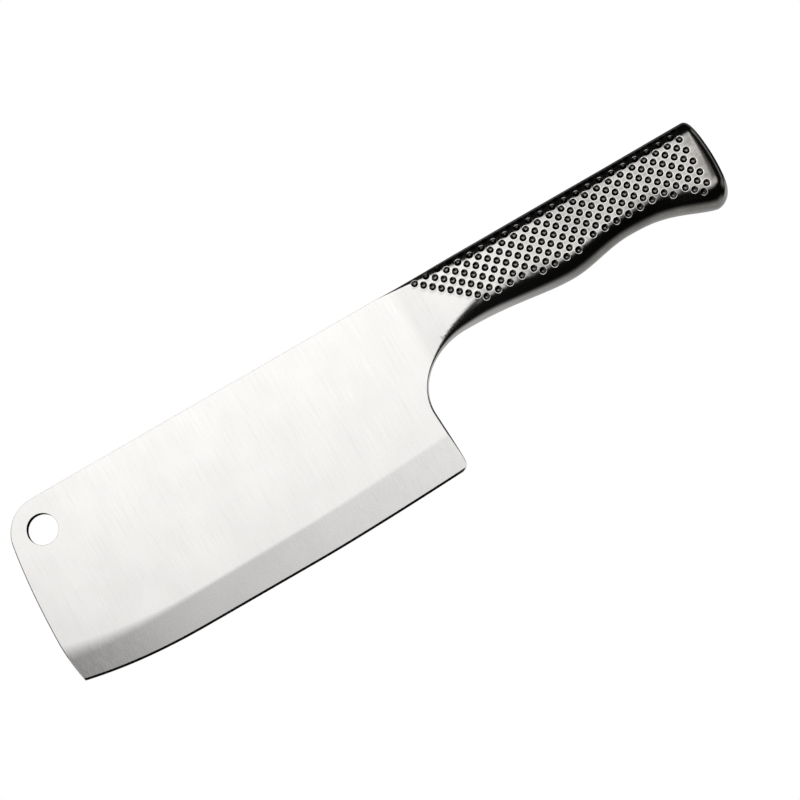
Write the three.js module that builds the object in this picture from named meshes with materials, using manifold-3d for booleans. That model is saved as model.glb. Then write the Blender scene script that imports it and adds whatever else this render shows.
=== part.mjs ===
// An all-steel kitchen cleaver with a hollow, dimpled, sand-balanced handle.
// Millimetres. The edge is down, the spine is up and the handle points along +X.
// Shapes are drawn from a datum on the middle plane: x from the heel, depth down from the spine.
import * as THREE from 'three';
import { mergeGeometries, mergeVertices } from 'three/addons/utils/BufferGeometryUtils.js';
import Module from 'manifold-3d';

// Blade blank
const BLADE_LENGTH = 160;
const BLADE_HEIGHT = 72.5;
const BLADE_THICKNESS = 4;
const SPINE_CHAMFER = 0.4;

// Tip end: a round upper corner, then a long end that leans out and turns in again at the bottom
const TIP_CORNER_RADIUS = 14;
const TIP_LEAN_DEGREES = 8;
const TIP_CORNER_INSET = 2.4;
const TIP_BULGE_DEPTH = 50.5;
const TIP_FOOT_INSET = 2.1;
const TIP_FOOT_DEPTH = 67.8;

// Cutting edge: a flat middle that climbs towards the tip and, less, towards the heel
const TIP_RISE = 5.4;
const TIP_RISE_LENGTH = 52;
const TIP_RISE_POWER = 2.3;
const HEEL_RISE = 2.2;
const HEEL_RISE_LENGTH = 62;
const HEEL_RISE_POWER = 1.5;
const HEEL_CORNER_RADIUS = 3.5;

// Ground faces: a wide bevel on each side, ending in a narrow sharpened one
const BEVEL_AT_TIP = 11.5;
const BEVEL_AT_HEEL = 14;
const SHARPENED_HEIGHT = 0.6;
const SHARPENED_SHOULDER = 0.7;
const EDGE_WIDTH = 0.1;

// Hang hole near the top of the tip end
const HANG_HOLE_DIAMETER = 11.7;
const HANG_HOLE_FROM_TIP = 15;
const HANG_HOLE_DEPTH = 12;

// Choil: a quarter ellipse between the back of the heel and the underside of the handle
const HEEL_SETBACK = 0.8;
const CHOIL_LENGTH = 24.8;
const CHOIL_DROP = 20.6;

// Handle outline, seen from the side
const HANDLE_LENGTH = 132.4;
const NECK_DEPTH = 25.8;
const SWELL_DEPTH = 29.3;
const SWELL_AT = 67;
const WAIST_DEPTH = 25.9;
const WAIST_AT = 92;
const BUTT_DEPTH = 33.8;
const BUTT_FLARE_POWER = 1.4;
const BUTT_CROWN = 2;
const BUTT_UPPER_RADIUS = 1.8;
const BUTT_LOWER_RADIUS = 5.5;
const BUTT_SIDE_RADIUS = 3.6;

// Handle outline, seen from above
const FLARE_AT = 5;
const NECK_WIDTH = 16.4;
const NECK_WIDTH_AT = 40;
const SWELL_WIDTH = 18;
const WAIST_WIDTH = 16.8;
const BUTT_WIDTH = 20;

// Rounding of the handle's section: how far down from the top and up from the bottom it reaches
const TOP_ROUND = 8.5;
const TOP_ROUND_AT = 46;
const BOTTOM_ROUND = 11.5;
const BOTTOM_ROUND_AT = 37;
const BOTTOM_ROUND_SKEW = 1.3;
const ROUND_POWER = 2.4;

// Hollow handle: two pressed halves, welded along the middle plane and to the blade
const WALL = 1.5;
const SEAM_WIDTH = 1.6;
const NECK_WELD_AT = 12.5;
const NECK_WELD_WIDTH = 1.5;

// Loose sand that balances the knife, level as it lies with the edge down
const SAND_LEVEL_DEPTH = 16;
const SAND_CLEARANCE = 0.3;

// Dimples: staggered rows that follow the surface, from a row on the flat of the side
const DIMPLE_DIAMETER = 2.5;
const DIMPLE_DEPTH = 0.6;
const DIMPLE_PITCH = 4.92;
const DIMPLE_ROW_PITCH = 2.3;
const DIMPLE_ROW_DEPTH = 13.3;
const DIMPLE_COLUMN_AT = 43.2;
const DIMPLE_ROWS_ABOVE = 5;
const DIMPLE_FRONT_AT = 11.8;
const DIMPLE_FRONT_SLANT = 1.07;
const DIMPLE_BACK_MARGIN = 6.4;
const DIMPLE_BELLY_MARGIN = 5.65;

// Facets
const CAP_STEPS = 5;
const STATION_STEP = 7.5;
const EDGE_STATIONS = 16;
const CHOIL_STEPS = 8;
const BUTT_STEPS = 4;
const HOLE_SIDES = 36;
const DIMPLE_SIDES = 7;
const CURVE_STEPS = 10;
const PROFILE_STEPS = 24;

// How far a cutting shape reaches past what it cuts
const OVERCUT = 2;

const wasm = await Module();
wasm.setup();

const radians = THREE.MathUtils.degToRad;
const heelFace = -HEEL_SETBACK;
const choilEnd = heelFace + CHOIL_LENGTH;
const neckWeldEnd = NECK_WELD_AT + NECK_WELD_WIDTH;
const buttRoundStart = HANDLE_LENGTH - BUTT_CROWN - BUTT_LOWER_RADIUS;

// Turn a closed three.js geometry into a solid that can be cut and joined
function toSolid(geometry) {
  const bare = geometry.clone();
  bare.deleteAttribute('normal');
  bare.deleteAttribute('uv');
  const merged = mergeVertices(bare);
  const vertProperties = new Float32Array(merged.attributes.position.array);
  const triVerts = new Uint32Array(merged.index.array);
  return new wasm.Manifold(new wasm.Mesh({ numProp: 3, vertProperties, triVerts }));
}

function toGeometry(solid) {
  const { vertProperties, triVerts } = solid.getMesh();
  const geometry = new THREE.BufferGeometry();
  geometry.setAttribute('position', new THREE.BufferAttribute(vertProperties, 3));
  geometry.setIndex(new THREE.BufferAttribute(triVerts, 1));
  const faceted = geometry.toNonIndexed();
  faceted.computeVertexNormals();
  return faceted;
}

// Skin a row of rings, each counter-clockwise seen from +X and alike on both sides of the middle plane.
// Each end is closed by a ladder of faces between the ring's two sides.
function loft(rings) {
  const count = rings[0].length;
  const index = [];
  for (let ring = 0; ring + 1 < rings.length; ring += 1) {
    for (let j = 0; j < count; j += 1) {
      const a = ring * count + j;
      const b = ring * count + ((j + 1) % count);
      index.push(a, b, b + count, a, b + count, a + count);
    }
  }
  const end = (rings.length - 1) * count;
  for (let j = 0; j < count / 2; j += 1) {
    const across = (count - j) % count;
    const nextAcross = count - j - 1;
    if (j + 1 < nextAcross) {
      index.push(nextAcross, j + 1, j, end + j, end + j + 1, end + nextAcross);
    }
    if (j > 0) {
      index.push(across, nextAcross, j, end + j, end + nextAcross, end + across);
    }
  }
  const geometry = new THREE.BufferGeometry().setFromPoints(rings.flat());
  geometry.setIndex(index);
  return geometry;
}

// A closed ring from one side's profile of [y, depth], which starts and ends on the middle plane.
// along gives each point's x from its depth.
function ringFrom(profile, along) {
  const left = profile.map(([y, depth]) => new THREE.Vector3(along(depth), -y, -depth));
  const right = profile.slice(1, -1).map(([y, depth]) => new THREE.Vector3(along(depth), y, -depth));
  return [...left, ...right.reverse()];
}

function box(from, to) {
  const size = new THREE.Vector3().subVectors(to, from);
  const middle = new THREE.Vector3().addVectors(from, to).divideScalar(2);
  return new THREE.BoxGeometry(size.x, size.y, size.z).translate(middle.x, middle.y, middle.z);
}

// Evenly spaced values that include both ends
function spaced(from, to, steps) {
  return Array.from({ length: steps + 1 }, (_, i) => from + ((to - from) * i) / steps);
}

// A value that eases from key to key; a key is [x, value, skew] and a skew over 1 starts late
function eased(x, keys) {
  if (x <= keys[0][0]) return keys[0][1];
  for (let i = 1; i < keys.length; i += 1) {
    const [fromX, from] = keys[i - 1];
    const [toX, to, skew = 1] = keys[i];
    if (x <= toX) {
      const share = ((x - fromX) / (toX - fromX)) ** skew;
      return THREE.MathUtils.lerp(from, to, THREE.MathUtils.smoothstep(share, 0, 1));
    }
  }
  return keys[keys.length - 1][1];
}

// Depth of the cutting edge below the spine
function edgeDepth(x) {
  const toTip = Math.max(0, TIP_RISE_LENGTH - BLADE_LENGTH - x) / TIP_RISE_LENGTH;
  const toHeel = Math.max(0, HEEL_RISE_LENGTH + x) / HEEL_RISE_LENGTH;
  return BLADE_HEIGHT - TIP_RISE * toTip ** TIP_RISE_POWER - HEEL_RISE * toHeel ** HEEL_RISE_POWER;
}

// Depth of the line where the cheek turns into the bevel
function grindDepth(x) {
  const share = -x / BLADE_LENGTH;
  return edgeDepth(x) - THREE.MathUtils.lerp(BEVEL_AT_HEEL, BEVEL_AT_TIP, share);
}

// The blade's side outline, open past the spine and the edge, which the ground shape closes
function bladeOutline() {
  const below = -Math.max(BLADE_HEIGHT, TIP_FOOT_DEPTH) - OVERCUT;
  const lean = radians(TIP_LEAN_DEGREES);
  const cornerX = TIP_CORNER_INSET - BLADE_LENGTH + TIP_CORNER_RADIUS * Math.cos(lean);
  const leanStart = TIP_CORNER_RADIUS * (1 - Math.sin(lean));
  const leanControl = leanStart + TIP_CORNER_INSET / Math.tan(lean);
  const footControl = (TIP_BULGE_DEPTH + TIP_FOOT_DEPTH) / 2;
  const footX = TIP_FOOT_INSET - BLADE_LENGTH;
  const footSlope = TIP_FOOT_INSET / (TIP_FOOT_DEPTH - footControl);
  const heelEdge = edgeDepth(-HEEL_CORNER_RADIUS);
  const heelArcDepth = heelEdge - HEEL_CORNER_RADIUS;
  const choilDepth = NECK_DEPTH + CHOIL_DROP;

  const shape = new THREE.Shape();
  shape.moveTo(heelFace, OVERCUT);
  shape.lineTo(cornerX, OVERCUT);
  shape.lineTo(cornerX, 0);
  shape.absarc(cornerX, -TIP_CORNER_RADIUS, TIP_CORNER_RADIUS, Math.PI / 2, Math.PI - lean);
  shape.quadraticCurveTo(-BLADE_LENGTH, -leanControl, -BLADE_LENGTH, -TIP_BULGE_DEPTH);
  shape.quadraticCurveTo(-BLADE_LENGTH, -footControl, footX, -TIP_FOOT_DEPTH);
  shape.lineTo(footX + footSlope * (-below - TIP_FOOT_DEPTH), below);
  shape.lineTo(-HEEL_CORNER_RADIUS, below);
  shape.lineTo(-HEEL_CORNER_RADIUS, -heelEdge);
  shape.absarc(-HEEL_CORNER_RADIUS, -heelArcDepth, HEEL_CORNER_RADIUS, -Math.PI / 2, 0);
  shape.quadraticCurveTo(heelFace, -(heelArcDepth + choilDepth) / 2, heelFace, -choilDepth);
  return shape;
}

// Everything between the two ground sides: flat cheeks, bevels, sharpened edge, softened spine
function groundShape() {
  const half = BLADE_THICKNESS / 2;
  const shoulder = SHARPENED_SHOULDER / 2;
  const apex = EDGE_WIDTH / 2;
  const rings = spaced(-BLADE_LENGTH - OVERCUT, OVERCUT, EDGE_STATIONS).map((x) => {
    const edge = edgeDepth(x);
    const profile = [
      [0, 0],
      [half - SPINE_CHAMFER, 0],
      [half, SPINE_CHAMFER],
      [half, grindDepth(x)],
      [shoulder, edge - SHARPENED_HEIGHT],
      [apex, edge],
      [0, edge],
    ];
    return ringFrom(profile, () => x);
  });
  return loft(rings);
}

function hangHole() {
  const radius = HANG_HOLE_DIAMETER / 2;
  return new THREE.CylinderGeometry(radius, radius, BLADE_THICKNESS + OVERCUT, HOLE_SIDES)
    .translate(HANG_HOLE_FROM_TIP - BLADE_LENGTH, 0, -HANG_HOLE_DEPTH);
}

// Depth of the underside, from the choil along the handle to the butt
function bellyDepth(x) {
  if (x < choilEnd) {
    const share = Math.min(1, (choilEnd - x) / CHOIL_LENGTH);
    return NECK_DEPTH + CHOIL_DROP * (1 - Math.sqrt(1 - share ** 2));
  }
  return eased(x, [
    [choilEnd, NECK_DEPTH],
    [SWELL_AT, SWELL_DEPTH],
    [WAIST_AT, WAIST_DEPTH],
    [buttRoundStart, BUTT_DEPTH, BUTT_FLARE_POWER],
  ]);
}

// The handle's section at x: it grows out of the blade's own thickness at the heel
function sectionAt(x) {
  const halfWidth = eased(x, [
    [FLARE_AT, BLADE_THICKNESS],
    [NECK_WIDTH_AT, NECK_WIDTH],
    [SWELL_AT, SWELL_WIDTH],
    [WAIST_AT, WAIST_WIDTH],
    [buttRoundStart, BUTT_WIDTH],
  ]) / 2;
  return {
    top: 0,
    bottom: bellyDepth(x),
    half: halfWidth,
    topRound: eased(x, [[heelFace, SPINE_CHAMFER], [TOP_ROUND_AT, TOP_ROUND]]),
    bottomRound: eased(x, [[heelFace, SPINE_CHAMFER], [BOTTOM_ROUND_AT, BOTTOM_ROUND, BOTTOM_ROUND_SKEW]]),
  };
}

// The same section, set in by a wall or a rounding that may differ at top, bottom and sides
function inset(section, top, bottom, side) {
  const least = SPINE_CHAMFER / 2;
  return {
    top: section.top + top,
    bottom: section.bottom - bottom,
    half: section.half - side,
    topRound: Math.max(section.topRound - top, least),
    bottomRound: Math.max(section.bottomRound - bottom, least),
  };
}

// One side of a section from the top to the bottom, as [y, depth]
function sideProfile(section, steps) {
  const corner = (angle) => [
    section.half * Math.sin(angle) ** (2 / ROUND_POWER),
    1 - Math.cos(angle) ** (2 / ROUND_POWER),
  ];
  const angles = spaced(0, Math.PI / 2, steps);
  const upper = angles.map((angle) => {
    const [y, drop] = corner(angle);
    return [y, section.top + section.topRound * drop];
  });
  const lower = angles.reverse().map((angle) => {
    const [y, drop] = corner(angle);
    return [y, section.bottom - section.bottomRound * drop];
  });
  lower[lower.length - 1][0] = 0;
  return [...upper, ...lower];
}

function ringOf(section, along) {
  return ringFrom(sideProfile(section, CAP_STEPS), along);
}

function ringAt(x, set) {
  return ringOf(inset(sectionAt(x), set, set, set), () => x);
}

// Rings that roll the handle over into its crowned butt
function buttRings(set) {
  const section = inset(sectionAt(buttRoundStart), set, set, set);
  const middle = BUTT_DEPTH / 2;
  const upper = Math.max(BUTT_UPPER_RADIUS - set, SPINE_CHAMFER);
  const lower = Math.max(BUTT_LOWER_RADIUS - set, SPINE_CHAMFER);
  const side = Math.max(BUTT_SIDE_RADIUS - set, SPINE_CHAMFER);
  return spaced(0, Math.PI / 2, BUTT_STEPS).map((turn) => {
    const rolled = 1 - Math.cos(turn);
    const along = (depth) => {
      const crown = BUTT_CROWN * ((depth - middle) / middle) ** 2;
      const radius = THREE.MathUtils.lerp(upper, lower, depth / BUTT_DEPTH);
      return HANDLE_LENGTH - set - crown - radius * (1 - Math.sin(turn));
    };
    return ringOf(inset(section, upper * rolled, lower * rolled, side * rolled), along);
  });
}

// The handle's outer form, or its form set in by a wall, from one x to the butt
function gripForm(from, set) {
  const to = buttRoundStart - set - OVERCUT;
  const steps = Math.ceil((to - from) / STATION_STEP);
  const body = spaced(from, to, steps).map((x) => ringAt(x, set));
  return loft([...body, ...buttRings(set)]);
}

// The flared neck that the blade grows into the handle with
function neckForm() {
  const full = (choilEnd - NECK_WELD_AT) / CHOIL_LENGTH;
  const stations = spaced(0, Math.acos(full), CHOIL_STEPS)
    .map((angle) => choilEnd - CHOIL_LENGTH * Math.cos(angle));
  const root = ringOf(sectionAt(heelFace), () => heelFace - OVERCUT);
  return loft([root, ...stations.map((x) => ringAt(x, 0))]);
}

// Where a distance down the surface, from the main dimple row, comes to at x
function gripPoint(x, down) {
  const profile = sideProfile(sectionAt(x), PROFILE_STEPS);
  const lengths = [0];
  for (let i = 1; i < profile.length; i += 1) {
    const [y, depth] = profile[i];
    const [lastY, lastDepth] = profile[i - 1];
    lengths.push(lengths[i - 1] + Math.hypot(y - lastY, depth - lastDepth));
  }
  const flat = PROFILE_STEPS;
  const wanted = lengths[flat] + DIMPLE_ROW_DEPTH - profile[flat][1] + down;
  const i = Math.max(1, lengths.findIndex((length) => length >= wanted));
  const share = (wanted - lengths[i - 1]) / (lengths[i] - lengths[i - 1]);
  const [y0, depth0] = profile[i - 1];
  const [y1, depth1] = profile[i];
  return {
    y: THREE.MathUtils.lerp(y0, y1, share),
    depth: THREE.MathUtils.lerp(depth0, depth1, share),
    tilt: Math.atan2(y1 - y0, depth1 - depth0),
  };
}

// Every dimple's place on one side of the handle
function dimplePlaces() {
  const places = [];
  const rowsBelow = Math.ceil((BUTT_DEPTH - DIMPLE_ROW_DEPTH) / DIMPLE_ROW_PITCH);
  const columns = Math.ceil(HANDLE_LENGTH / DIMPLE_PITCH);
  for (let row = -DIMPLE_ROWS_ABOVE; row <= rowsBelow; row += 1) {
    const stagger = Math.abs(row % 2) / 2;
    for (let column = -columns; column <= columns; column += 1) {
      const x = DIMPLE_COLUMN_AT + DIMPLE_PITCH * (column + stagger);
      const inLength = x > DIMPLE_FRONT_AT && x < HANDLE_LENGTH - DIMPLE_BACK_MARGIN;
      if (inLength) {
        const point = gripPoint(x, row * DIMPLE_ROW_PITCH);
        const behindFront = x > DIMPLE_FRONT_AT + DIMPLE_FRONT_SLANT * point.depth;
        const aboveBelly = point.depth < bellyDepth(x) - DIMPLE_BELLY_MARGIN;
        if (behindFront && aboveBelly) places.push({ x, ...point });
      }
    }
  }
  return places;
}

// One punch for each dimple, square to the surface, on the side where y has this sign
function dimplePunches(sign) {
  const radius = DIMPLE_DIAMETER / 2;
  const slope = radius / DIMPLE_DEPTH;
  const profile = [
    new THREE.Vector2(0, -DIMPLE_DEPTH),
    new THREE.Vector2(radius + slope * DIMPLE_DEPTH, DIMPLE_DEPTH),
    new THREE.Vector2(0, DIMPLE_DEPTH),
  ];
  const punches = dimplePlaces().map(({ x, y, depth, tilt }) => {
    const punch = new THREE.LatheGeometry(profile, DIMPLE_SIDES);
    if (sign < 0) punch.rotateZ(Math.PI);
    punch.rotateX(sign * tilt);
    return punch.translate(x, sign * y, -depth);
  });
  return toSolid(mergeGeometries(punches));
}

// The space on one side of the seam weld
function sideBlock(sign) {
  const reach = HANDLE_LENGTH * 2;
  const near = new THREE.Vector3(-reach, SEAM_WIDTH / 2, -reach);
  const far = new THREE.Vector3(reach, reach, reach);
  const block = box(near, far);
  if (sign < 0) block.rotateZ(Math.PI);
  return toSolid(block);
}

function buildBlade() {
  const slab = new THREE.ExtrudeGeometry(bladeOutline(), {
    depth: BLADE_THICKNESS + OVERCUT,
    bevelEnabled: false,
    curveSegments: CURVE_STEPS,
  });
  slab.translate(0, 0, -(BLADE_THICKNESS + OVERCUT) / 2).rotateX(Math.PI / 2);
  return toSolid(slab)
    .intersect(toSolid(groundShape()))
    .subtract(toSolid(hangHole()))
    .add(toSolid(neckForm()));
}

function buildHandleWall() {
  const cavity = toSolid(gripForm(neckWeldEnd - OVERCUT, WALL));
  return toSolid(gripForm(neckWeldEnd, 0)).subtract(cavity);
}

function buildSeamWeld(wall) {
  return wall.subtract(sideBlock(1)).subtract(sideBlock(-1));
}

function buildHandleShell(wall, sign) {
  return wall.intersect(sideBlock(sign)).subtract(dimplePunches(sign));
}

function buildNeckWeld() {
  const outside = loft([ringAt(NECK_WELD_AT, 0), ringAt(neckWeldEnd, 0)]);
  const inside = loft([ringAt(NECK_WELD_AT - OVERCUT, WALL), ringAt(neckWeldEnd + OVERCUT, WALL)]);
  return toSolid(outside).subtract(toSolid(inside));
}

function buildSand() {
  const fill = toSolid(gripForm(NECK_WELD_AT + SAND_CLEARANCE, WALL + SAND_CLEARANCE));
  const near = new THREE.Vector3(-HANDLE_LENGTH, -HANDLE_LENGTH, -HANDLE_LENGTH);
  const far = new THREE.Vector3(HANDLE_LENGTH * 2, HANDLE_LENGTH, -SAND_LEVEL_DEPTH);
  return fill.intersect(toSolid(box(near, far)));
}

const brushedSteel = { color: 0xd6d5d2, roughness: 0.32, metalness: 1 };
const satinSteel = { color: 0xc9c7c3, roughness: 0.28, metalness: 1 };
const groundWeld = { color: 0xb9b7b3, roughness: 0.4, metalness: 1 };
const drySand = { color: 0xc2a878, roughness: 0.95, metalness: 0 };

function piece(name, solid, finish) {
  const mesh = new THREE.Mesh(toGeometry(solid), new THREE.MeshStandardMaterial(finish));
  mesh.name = name;
  return mesh;
}

const handleWall = buildHandleWall();
const knife = new THREE.Group();
knife.add(
  piece('blade', buildBlade(), brushedSteel),
  piece('neck_weld', buildNeckWeld(), groundWeld),
  piece('left_handle_shell', buildHandleShell(handleWall, -1), satinSteel),
  piece('right_handle_shell', buildHandleShell(handleWall, 1), satinSteel),
  piece('handle_seam_weld', buildSeamWeld(handleWall), groundWeld),
  piece('balance_sand', buildSand(), drySand),
);

// Stand the knife on its edge over the middle of its length
const reach = new THREE.Box3().setFromObject(knife);
knife.position.set(-(reach.min.x + reach.max.x) / 2, 0, -reach.min.z);

const cleaver = new THREE.Group();
cleaver.add(knife);
export default cleaver;
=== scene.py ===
# Dresses a packed all-steel cleaver: fine meshes and finishes for its blade, handle halves, welds and sand.
import math
from collections import Counter, namedtuple

import bpy
import numpy as np
from bpy.props import FloatProperty, FloatVectorProperty, IntProperty, PointerProperty
from mathutils import Matrix, Vector
from mathutils.geometry import delaunay_2d_cdt


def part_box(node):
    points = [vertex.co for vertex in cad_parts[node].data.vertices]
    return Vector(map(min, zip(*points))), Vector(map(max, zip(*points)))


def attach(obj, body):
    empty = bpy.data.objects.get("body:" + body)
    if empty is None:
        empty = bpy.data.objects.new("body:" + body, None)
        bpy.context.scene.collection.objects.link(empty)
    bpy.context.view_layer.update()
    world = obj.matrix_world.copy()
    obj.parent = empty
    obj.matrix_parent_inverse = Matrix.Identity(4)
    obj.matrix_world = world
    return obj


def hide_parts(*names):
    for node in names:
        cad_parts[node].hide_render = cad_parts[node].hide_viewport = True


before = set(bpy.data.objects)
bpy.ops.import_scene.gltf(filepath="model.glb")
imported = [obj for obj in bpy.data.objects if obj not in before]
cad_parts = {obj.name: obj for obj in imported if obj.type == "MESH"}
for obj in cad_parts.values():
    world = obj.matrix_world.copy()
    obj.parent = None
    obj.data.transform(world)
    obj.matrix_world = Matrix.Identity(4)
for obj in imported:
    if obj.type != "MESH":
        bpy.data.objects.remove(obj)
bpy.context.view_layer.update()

bl_info = {
    "name": "Cleaver",
    "version": (1, 0, 0),
    "blender": (4, 5, 0),
    "location": "3D View > Sidebar > Cleaver",
    "description": "Fine meshes, finishes and a studio for an all-steel cleaver with a dimpled handle",
    "category": "Object",
}

MM = 0.001
BODY = "root"
LEFT, RIGHT = -1, 1

# Blade blank
BLADE_LENGTH = 160 * MM
BLADE_HEIGHT = 72.5 * MM
BLADE_THICKNESS = 4 * MM
SPINE_CROWN = 0.2 * MM
END_CROWN = 0.7 * MM

# Tip end: a round upper corner, then a long end that leans out and turns in again at the bottom
TIP_CORNER_RADIUS = 14 * MM
TIP_LEAN = math.radians(8)
TIP_CORNER_INSET = 2.4 * MM
TIP_BULGE_DEPTH = 50.5 * MM
TIP_FOOT_INSET = 2.1 * MM
TIP_FOOT_DEPTH = 67.8 * MM

# Cutting edge: a flat middle that climbs towards the tip and, less, towards the heel
TIP_RISE = 5.4 * MM
TIP_RISE_LENGTH = 52 * MM
TIP_RISE_POWER = 2.3
HEEL_RISE = 2.2 * MM
HEEL_RISE_LENGTH = 62 * MM
HEEL_RISE_POWER = 1.5
HEEL_CORNER_RADIUS = 3.5 * MM

# Ground faces: a wide bevel on each side, ending in a narrow honed one
BEVEL_AT_TIP = 11.5 * MM
BEVEL_AT_HEEL = 14 * MM
SOFT_LENGTH = 60 * MM
SOFT_POWER = 1.5
HONED_HEIGHT = 0.85 * MM
HONED_SHOULDER = 0.75 * MM
HONED_TURN = 0.05 * MM
EDGE_WIDTH = 0.1 * MM

# Hang hole near the top of the tip end
HANG_HOLE_RADIUS = 5.85 * MM
HANG_HOLE_FROM_TIP = 15 * MM
HANG_HOLE_DEPTH = 12 * MM
HANG_HOLE = (HANG_HOLE_FROM_TIP - BLADE_LENGTH, HANG_HOLE_DEPTH)

# Choil: a quarter ellipse between the back of the heel and the underside of the handle
HEEL_FACE = -0.8 * MM
CHOIL_LENGTH = 24.8 * MM
CHOIL_DROP = 20.6 * MM
CHOIL_END = HEEL_FACE + CHOIL_LENGTH

# Handle, seen from the side and from above
NECK_DEPTH = 25.8 * MM
CHOIL_FOOT = NECK_DEPTH + CHOIL_DROP
SWELL_DEPTH = 29.3 * MM
SWELL_AT = 67 * MM
SWELL_SKEW = 1.25
WAIST_DEPTH = 25.8 * MM
WAIST_AT = 92 * MM
BUTT_DEPTH = 34.2 * MM
BUTT_FLARE_END = 128.5 * MM
BUTT_FLARE_POWER = 1.45
BUTT_CROWN = 2 * MM
BUTT_UPPER_RADIUS = 1.8 * MM
BUTT_LOWER_RADIUS = 5.5 * MM
BUTT_SIDE_RADIUS = 3.6 * MM
BUTT_SIDE_SWEEP = 0.8 * MM
FLARE_AT = 5 * MM
NECK_WIDTH = 16.4 * MM
NECK_WIDTH_AT = 40 * MM
SWELL_WIDTH = 18 * MM
WAIST_WIDTH = 16.8 * MM
BUTT_WIDTH = 19.96 * MM

# Rounding of the handle's section: how far down from the top and up from the bottom it reaches
TOP_ROUND = 8.5 * MM
TOP_ROUND_AT = 46 * MM
BOTTOM_ROUND = 10.9 * MM
BOTTOM_ROUND_AT = 46 * MM
BOTTOM_ROUND_SKEW = 1.3
WAIST_ROUND = 9.8 * MM
ROUND_SHARE = 2 / 2.4
LEAST_ROUND = 0.4 * MM

# Hollow handle: two pressed halves, welded along the middle plane and to the blade
WALL = 1.5 * MM
SEAM_HALF = 0.8 * MM
NECK_WELD_AT = 12.5 * MM
NECK_WELD_END = 14 * MM

# Where the dimple field starts, slants and ends
DIMPLE_ROW_DEPTH = 13.52 * MM
DIMPLE_NECK_ROW_DEPTH = 14.1 * MM
DIMPLE_COLUMN_AT = 43.32 * MM
DIMPLE_ROW_LEAN = 0.05 * MM
DIMPLE_ROWS_ABOVE = 5
DIMPLE_FRONT_AT = 11.8 * MM
DIMPLE_FRONT_SLANT = 1.07
DIMPLE_BACK_MARGIN = 6.4 * MM
DIMPLE_FULL_ROWS = 3
DIMPLE_BELLY_MARGIN = 5.4 * MM

# Where the blade's grinding has run out into the handle's satin, and where the painted shade on the satin is
# at its darkest
GRINDING_END = 32 * MM
SATIN_PAINTED_SHADE_AT = 90 * MM

# Unevenness of grinding and blasting, how far the blade is painted darker as shade towards the tip and the
# edge, and a scratch's length in spacings
BELT_CLOUD = 15 * MM
BLAST_CLOUD = 7 * MM
PAINTED_TIP_SHADE_LENGTH = 50 * MM
PAINTED_EDGE_SHADE_DEPTH = 58 * MM
SCRATCH_LENGTH = 40

# How finely the surfaces are cut
CAP_STEPS = 20
FLAT_STEPS = 10
BODY_STEPS = 46
ROLL_STEPS = 10
RIM_STEPS = 6
EDGE_STEPS = 48
SPINE_STEPS = 23
NECK_STEPS = 13
FLANK_STEPS = 15
TIP_STEPS = 20
LEAN_STEPS = 14
HEEL_STEPS = 6
CHOIL_STEPS = 27
SEAM_STEPS = 6
WELD_STEPS = 3
HOLE_SIDES = 64
LAND_SPACING = 1.2 * MM
CHEEK_SPACING = 8 * MM
NECK_SPACING = 1.4 * MM
END_MARGIN = 1 * MM
LENGTH_SAMPLES = 40
HEEL_CORNER_TURNS = np.radians(np.arange(10, 90, 16))
HOLE_TURNS = np.linspace(0, 2 * math.pi, HOLE_SIDES, endpoint=False)
ROLL_TURNS = np.linspace(0, math.pi / 2, ROLL_STEPS + 1)

# Where the handle's section is cut: 0 is the top seam, 1 to 2 the flat and 3 the bottom seam
CAP_SHARES = np.linspace(0, 1, CAP_STEPS + 1)
SHARES = np.concatenate([CAP_SHARES, np.linspace(1, 2, FLAT_STEPS + 1)[1:], CAP_SHARES[1:] + 2])

# Differences that normals are taken over, and the distance at which points count as one
STEP = 1e-5
SAME_PLACE = 1e-6

# Halvings of a search, a way in from the blade's rim, and the weight of a weld normal's upright part
HALVINGS = 60
WELL_INSIDE = 10 * MM
SEAM_LEAN = 0.2

# The kind of triangulation that keeps to the inside of its chains
INSIDE_CHAINS = 1

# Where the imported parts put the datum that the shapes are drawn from: heel, spine and butt
HEEL_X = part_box("blade")[0].x + BLADE_LENGTH
SPINE_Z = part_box("blade")[1].z
HANDLE_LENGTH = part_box("left_handle_shell")[1].x - HEEL_X
BUTT_START = HANDLE_LENGTH - BUTT_CROWN - BUTT_LOWER_RADIUS

Section = namedtuple("Section", "top bottom half top_round bottom_round")


def linear(colour):
    """A colour written as sRGB hex, in the linear values that shaders take."""
    parts = [int(colour[i:i + 2], 16) / 255 for i in (1, 3, 5)]
    return [p / 12.92 if p <= 0.04045 else ((p + 0.055) / 1.055) ** 2.4 for p in parts]


def colour_property(name, description, colour):
    return FloatVectorProperty(
        name=name, description=description, subtype="COLOR", size=3, min=0, max=1, default=linear(colour))


def length_property(name, description, size, least=0.0):
    return FloatProperty(
        name=name, description=description, unit="LENGTH", subtype="DISTANCE",
        precision=5, min=least, default=size)


def angle_property(name, description, degrees):
    return FloatProperty(name=name, description=description, subtype="ANGLE", default=math.radians(degrees))


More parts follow.
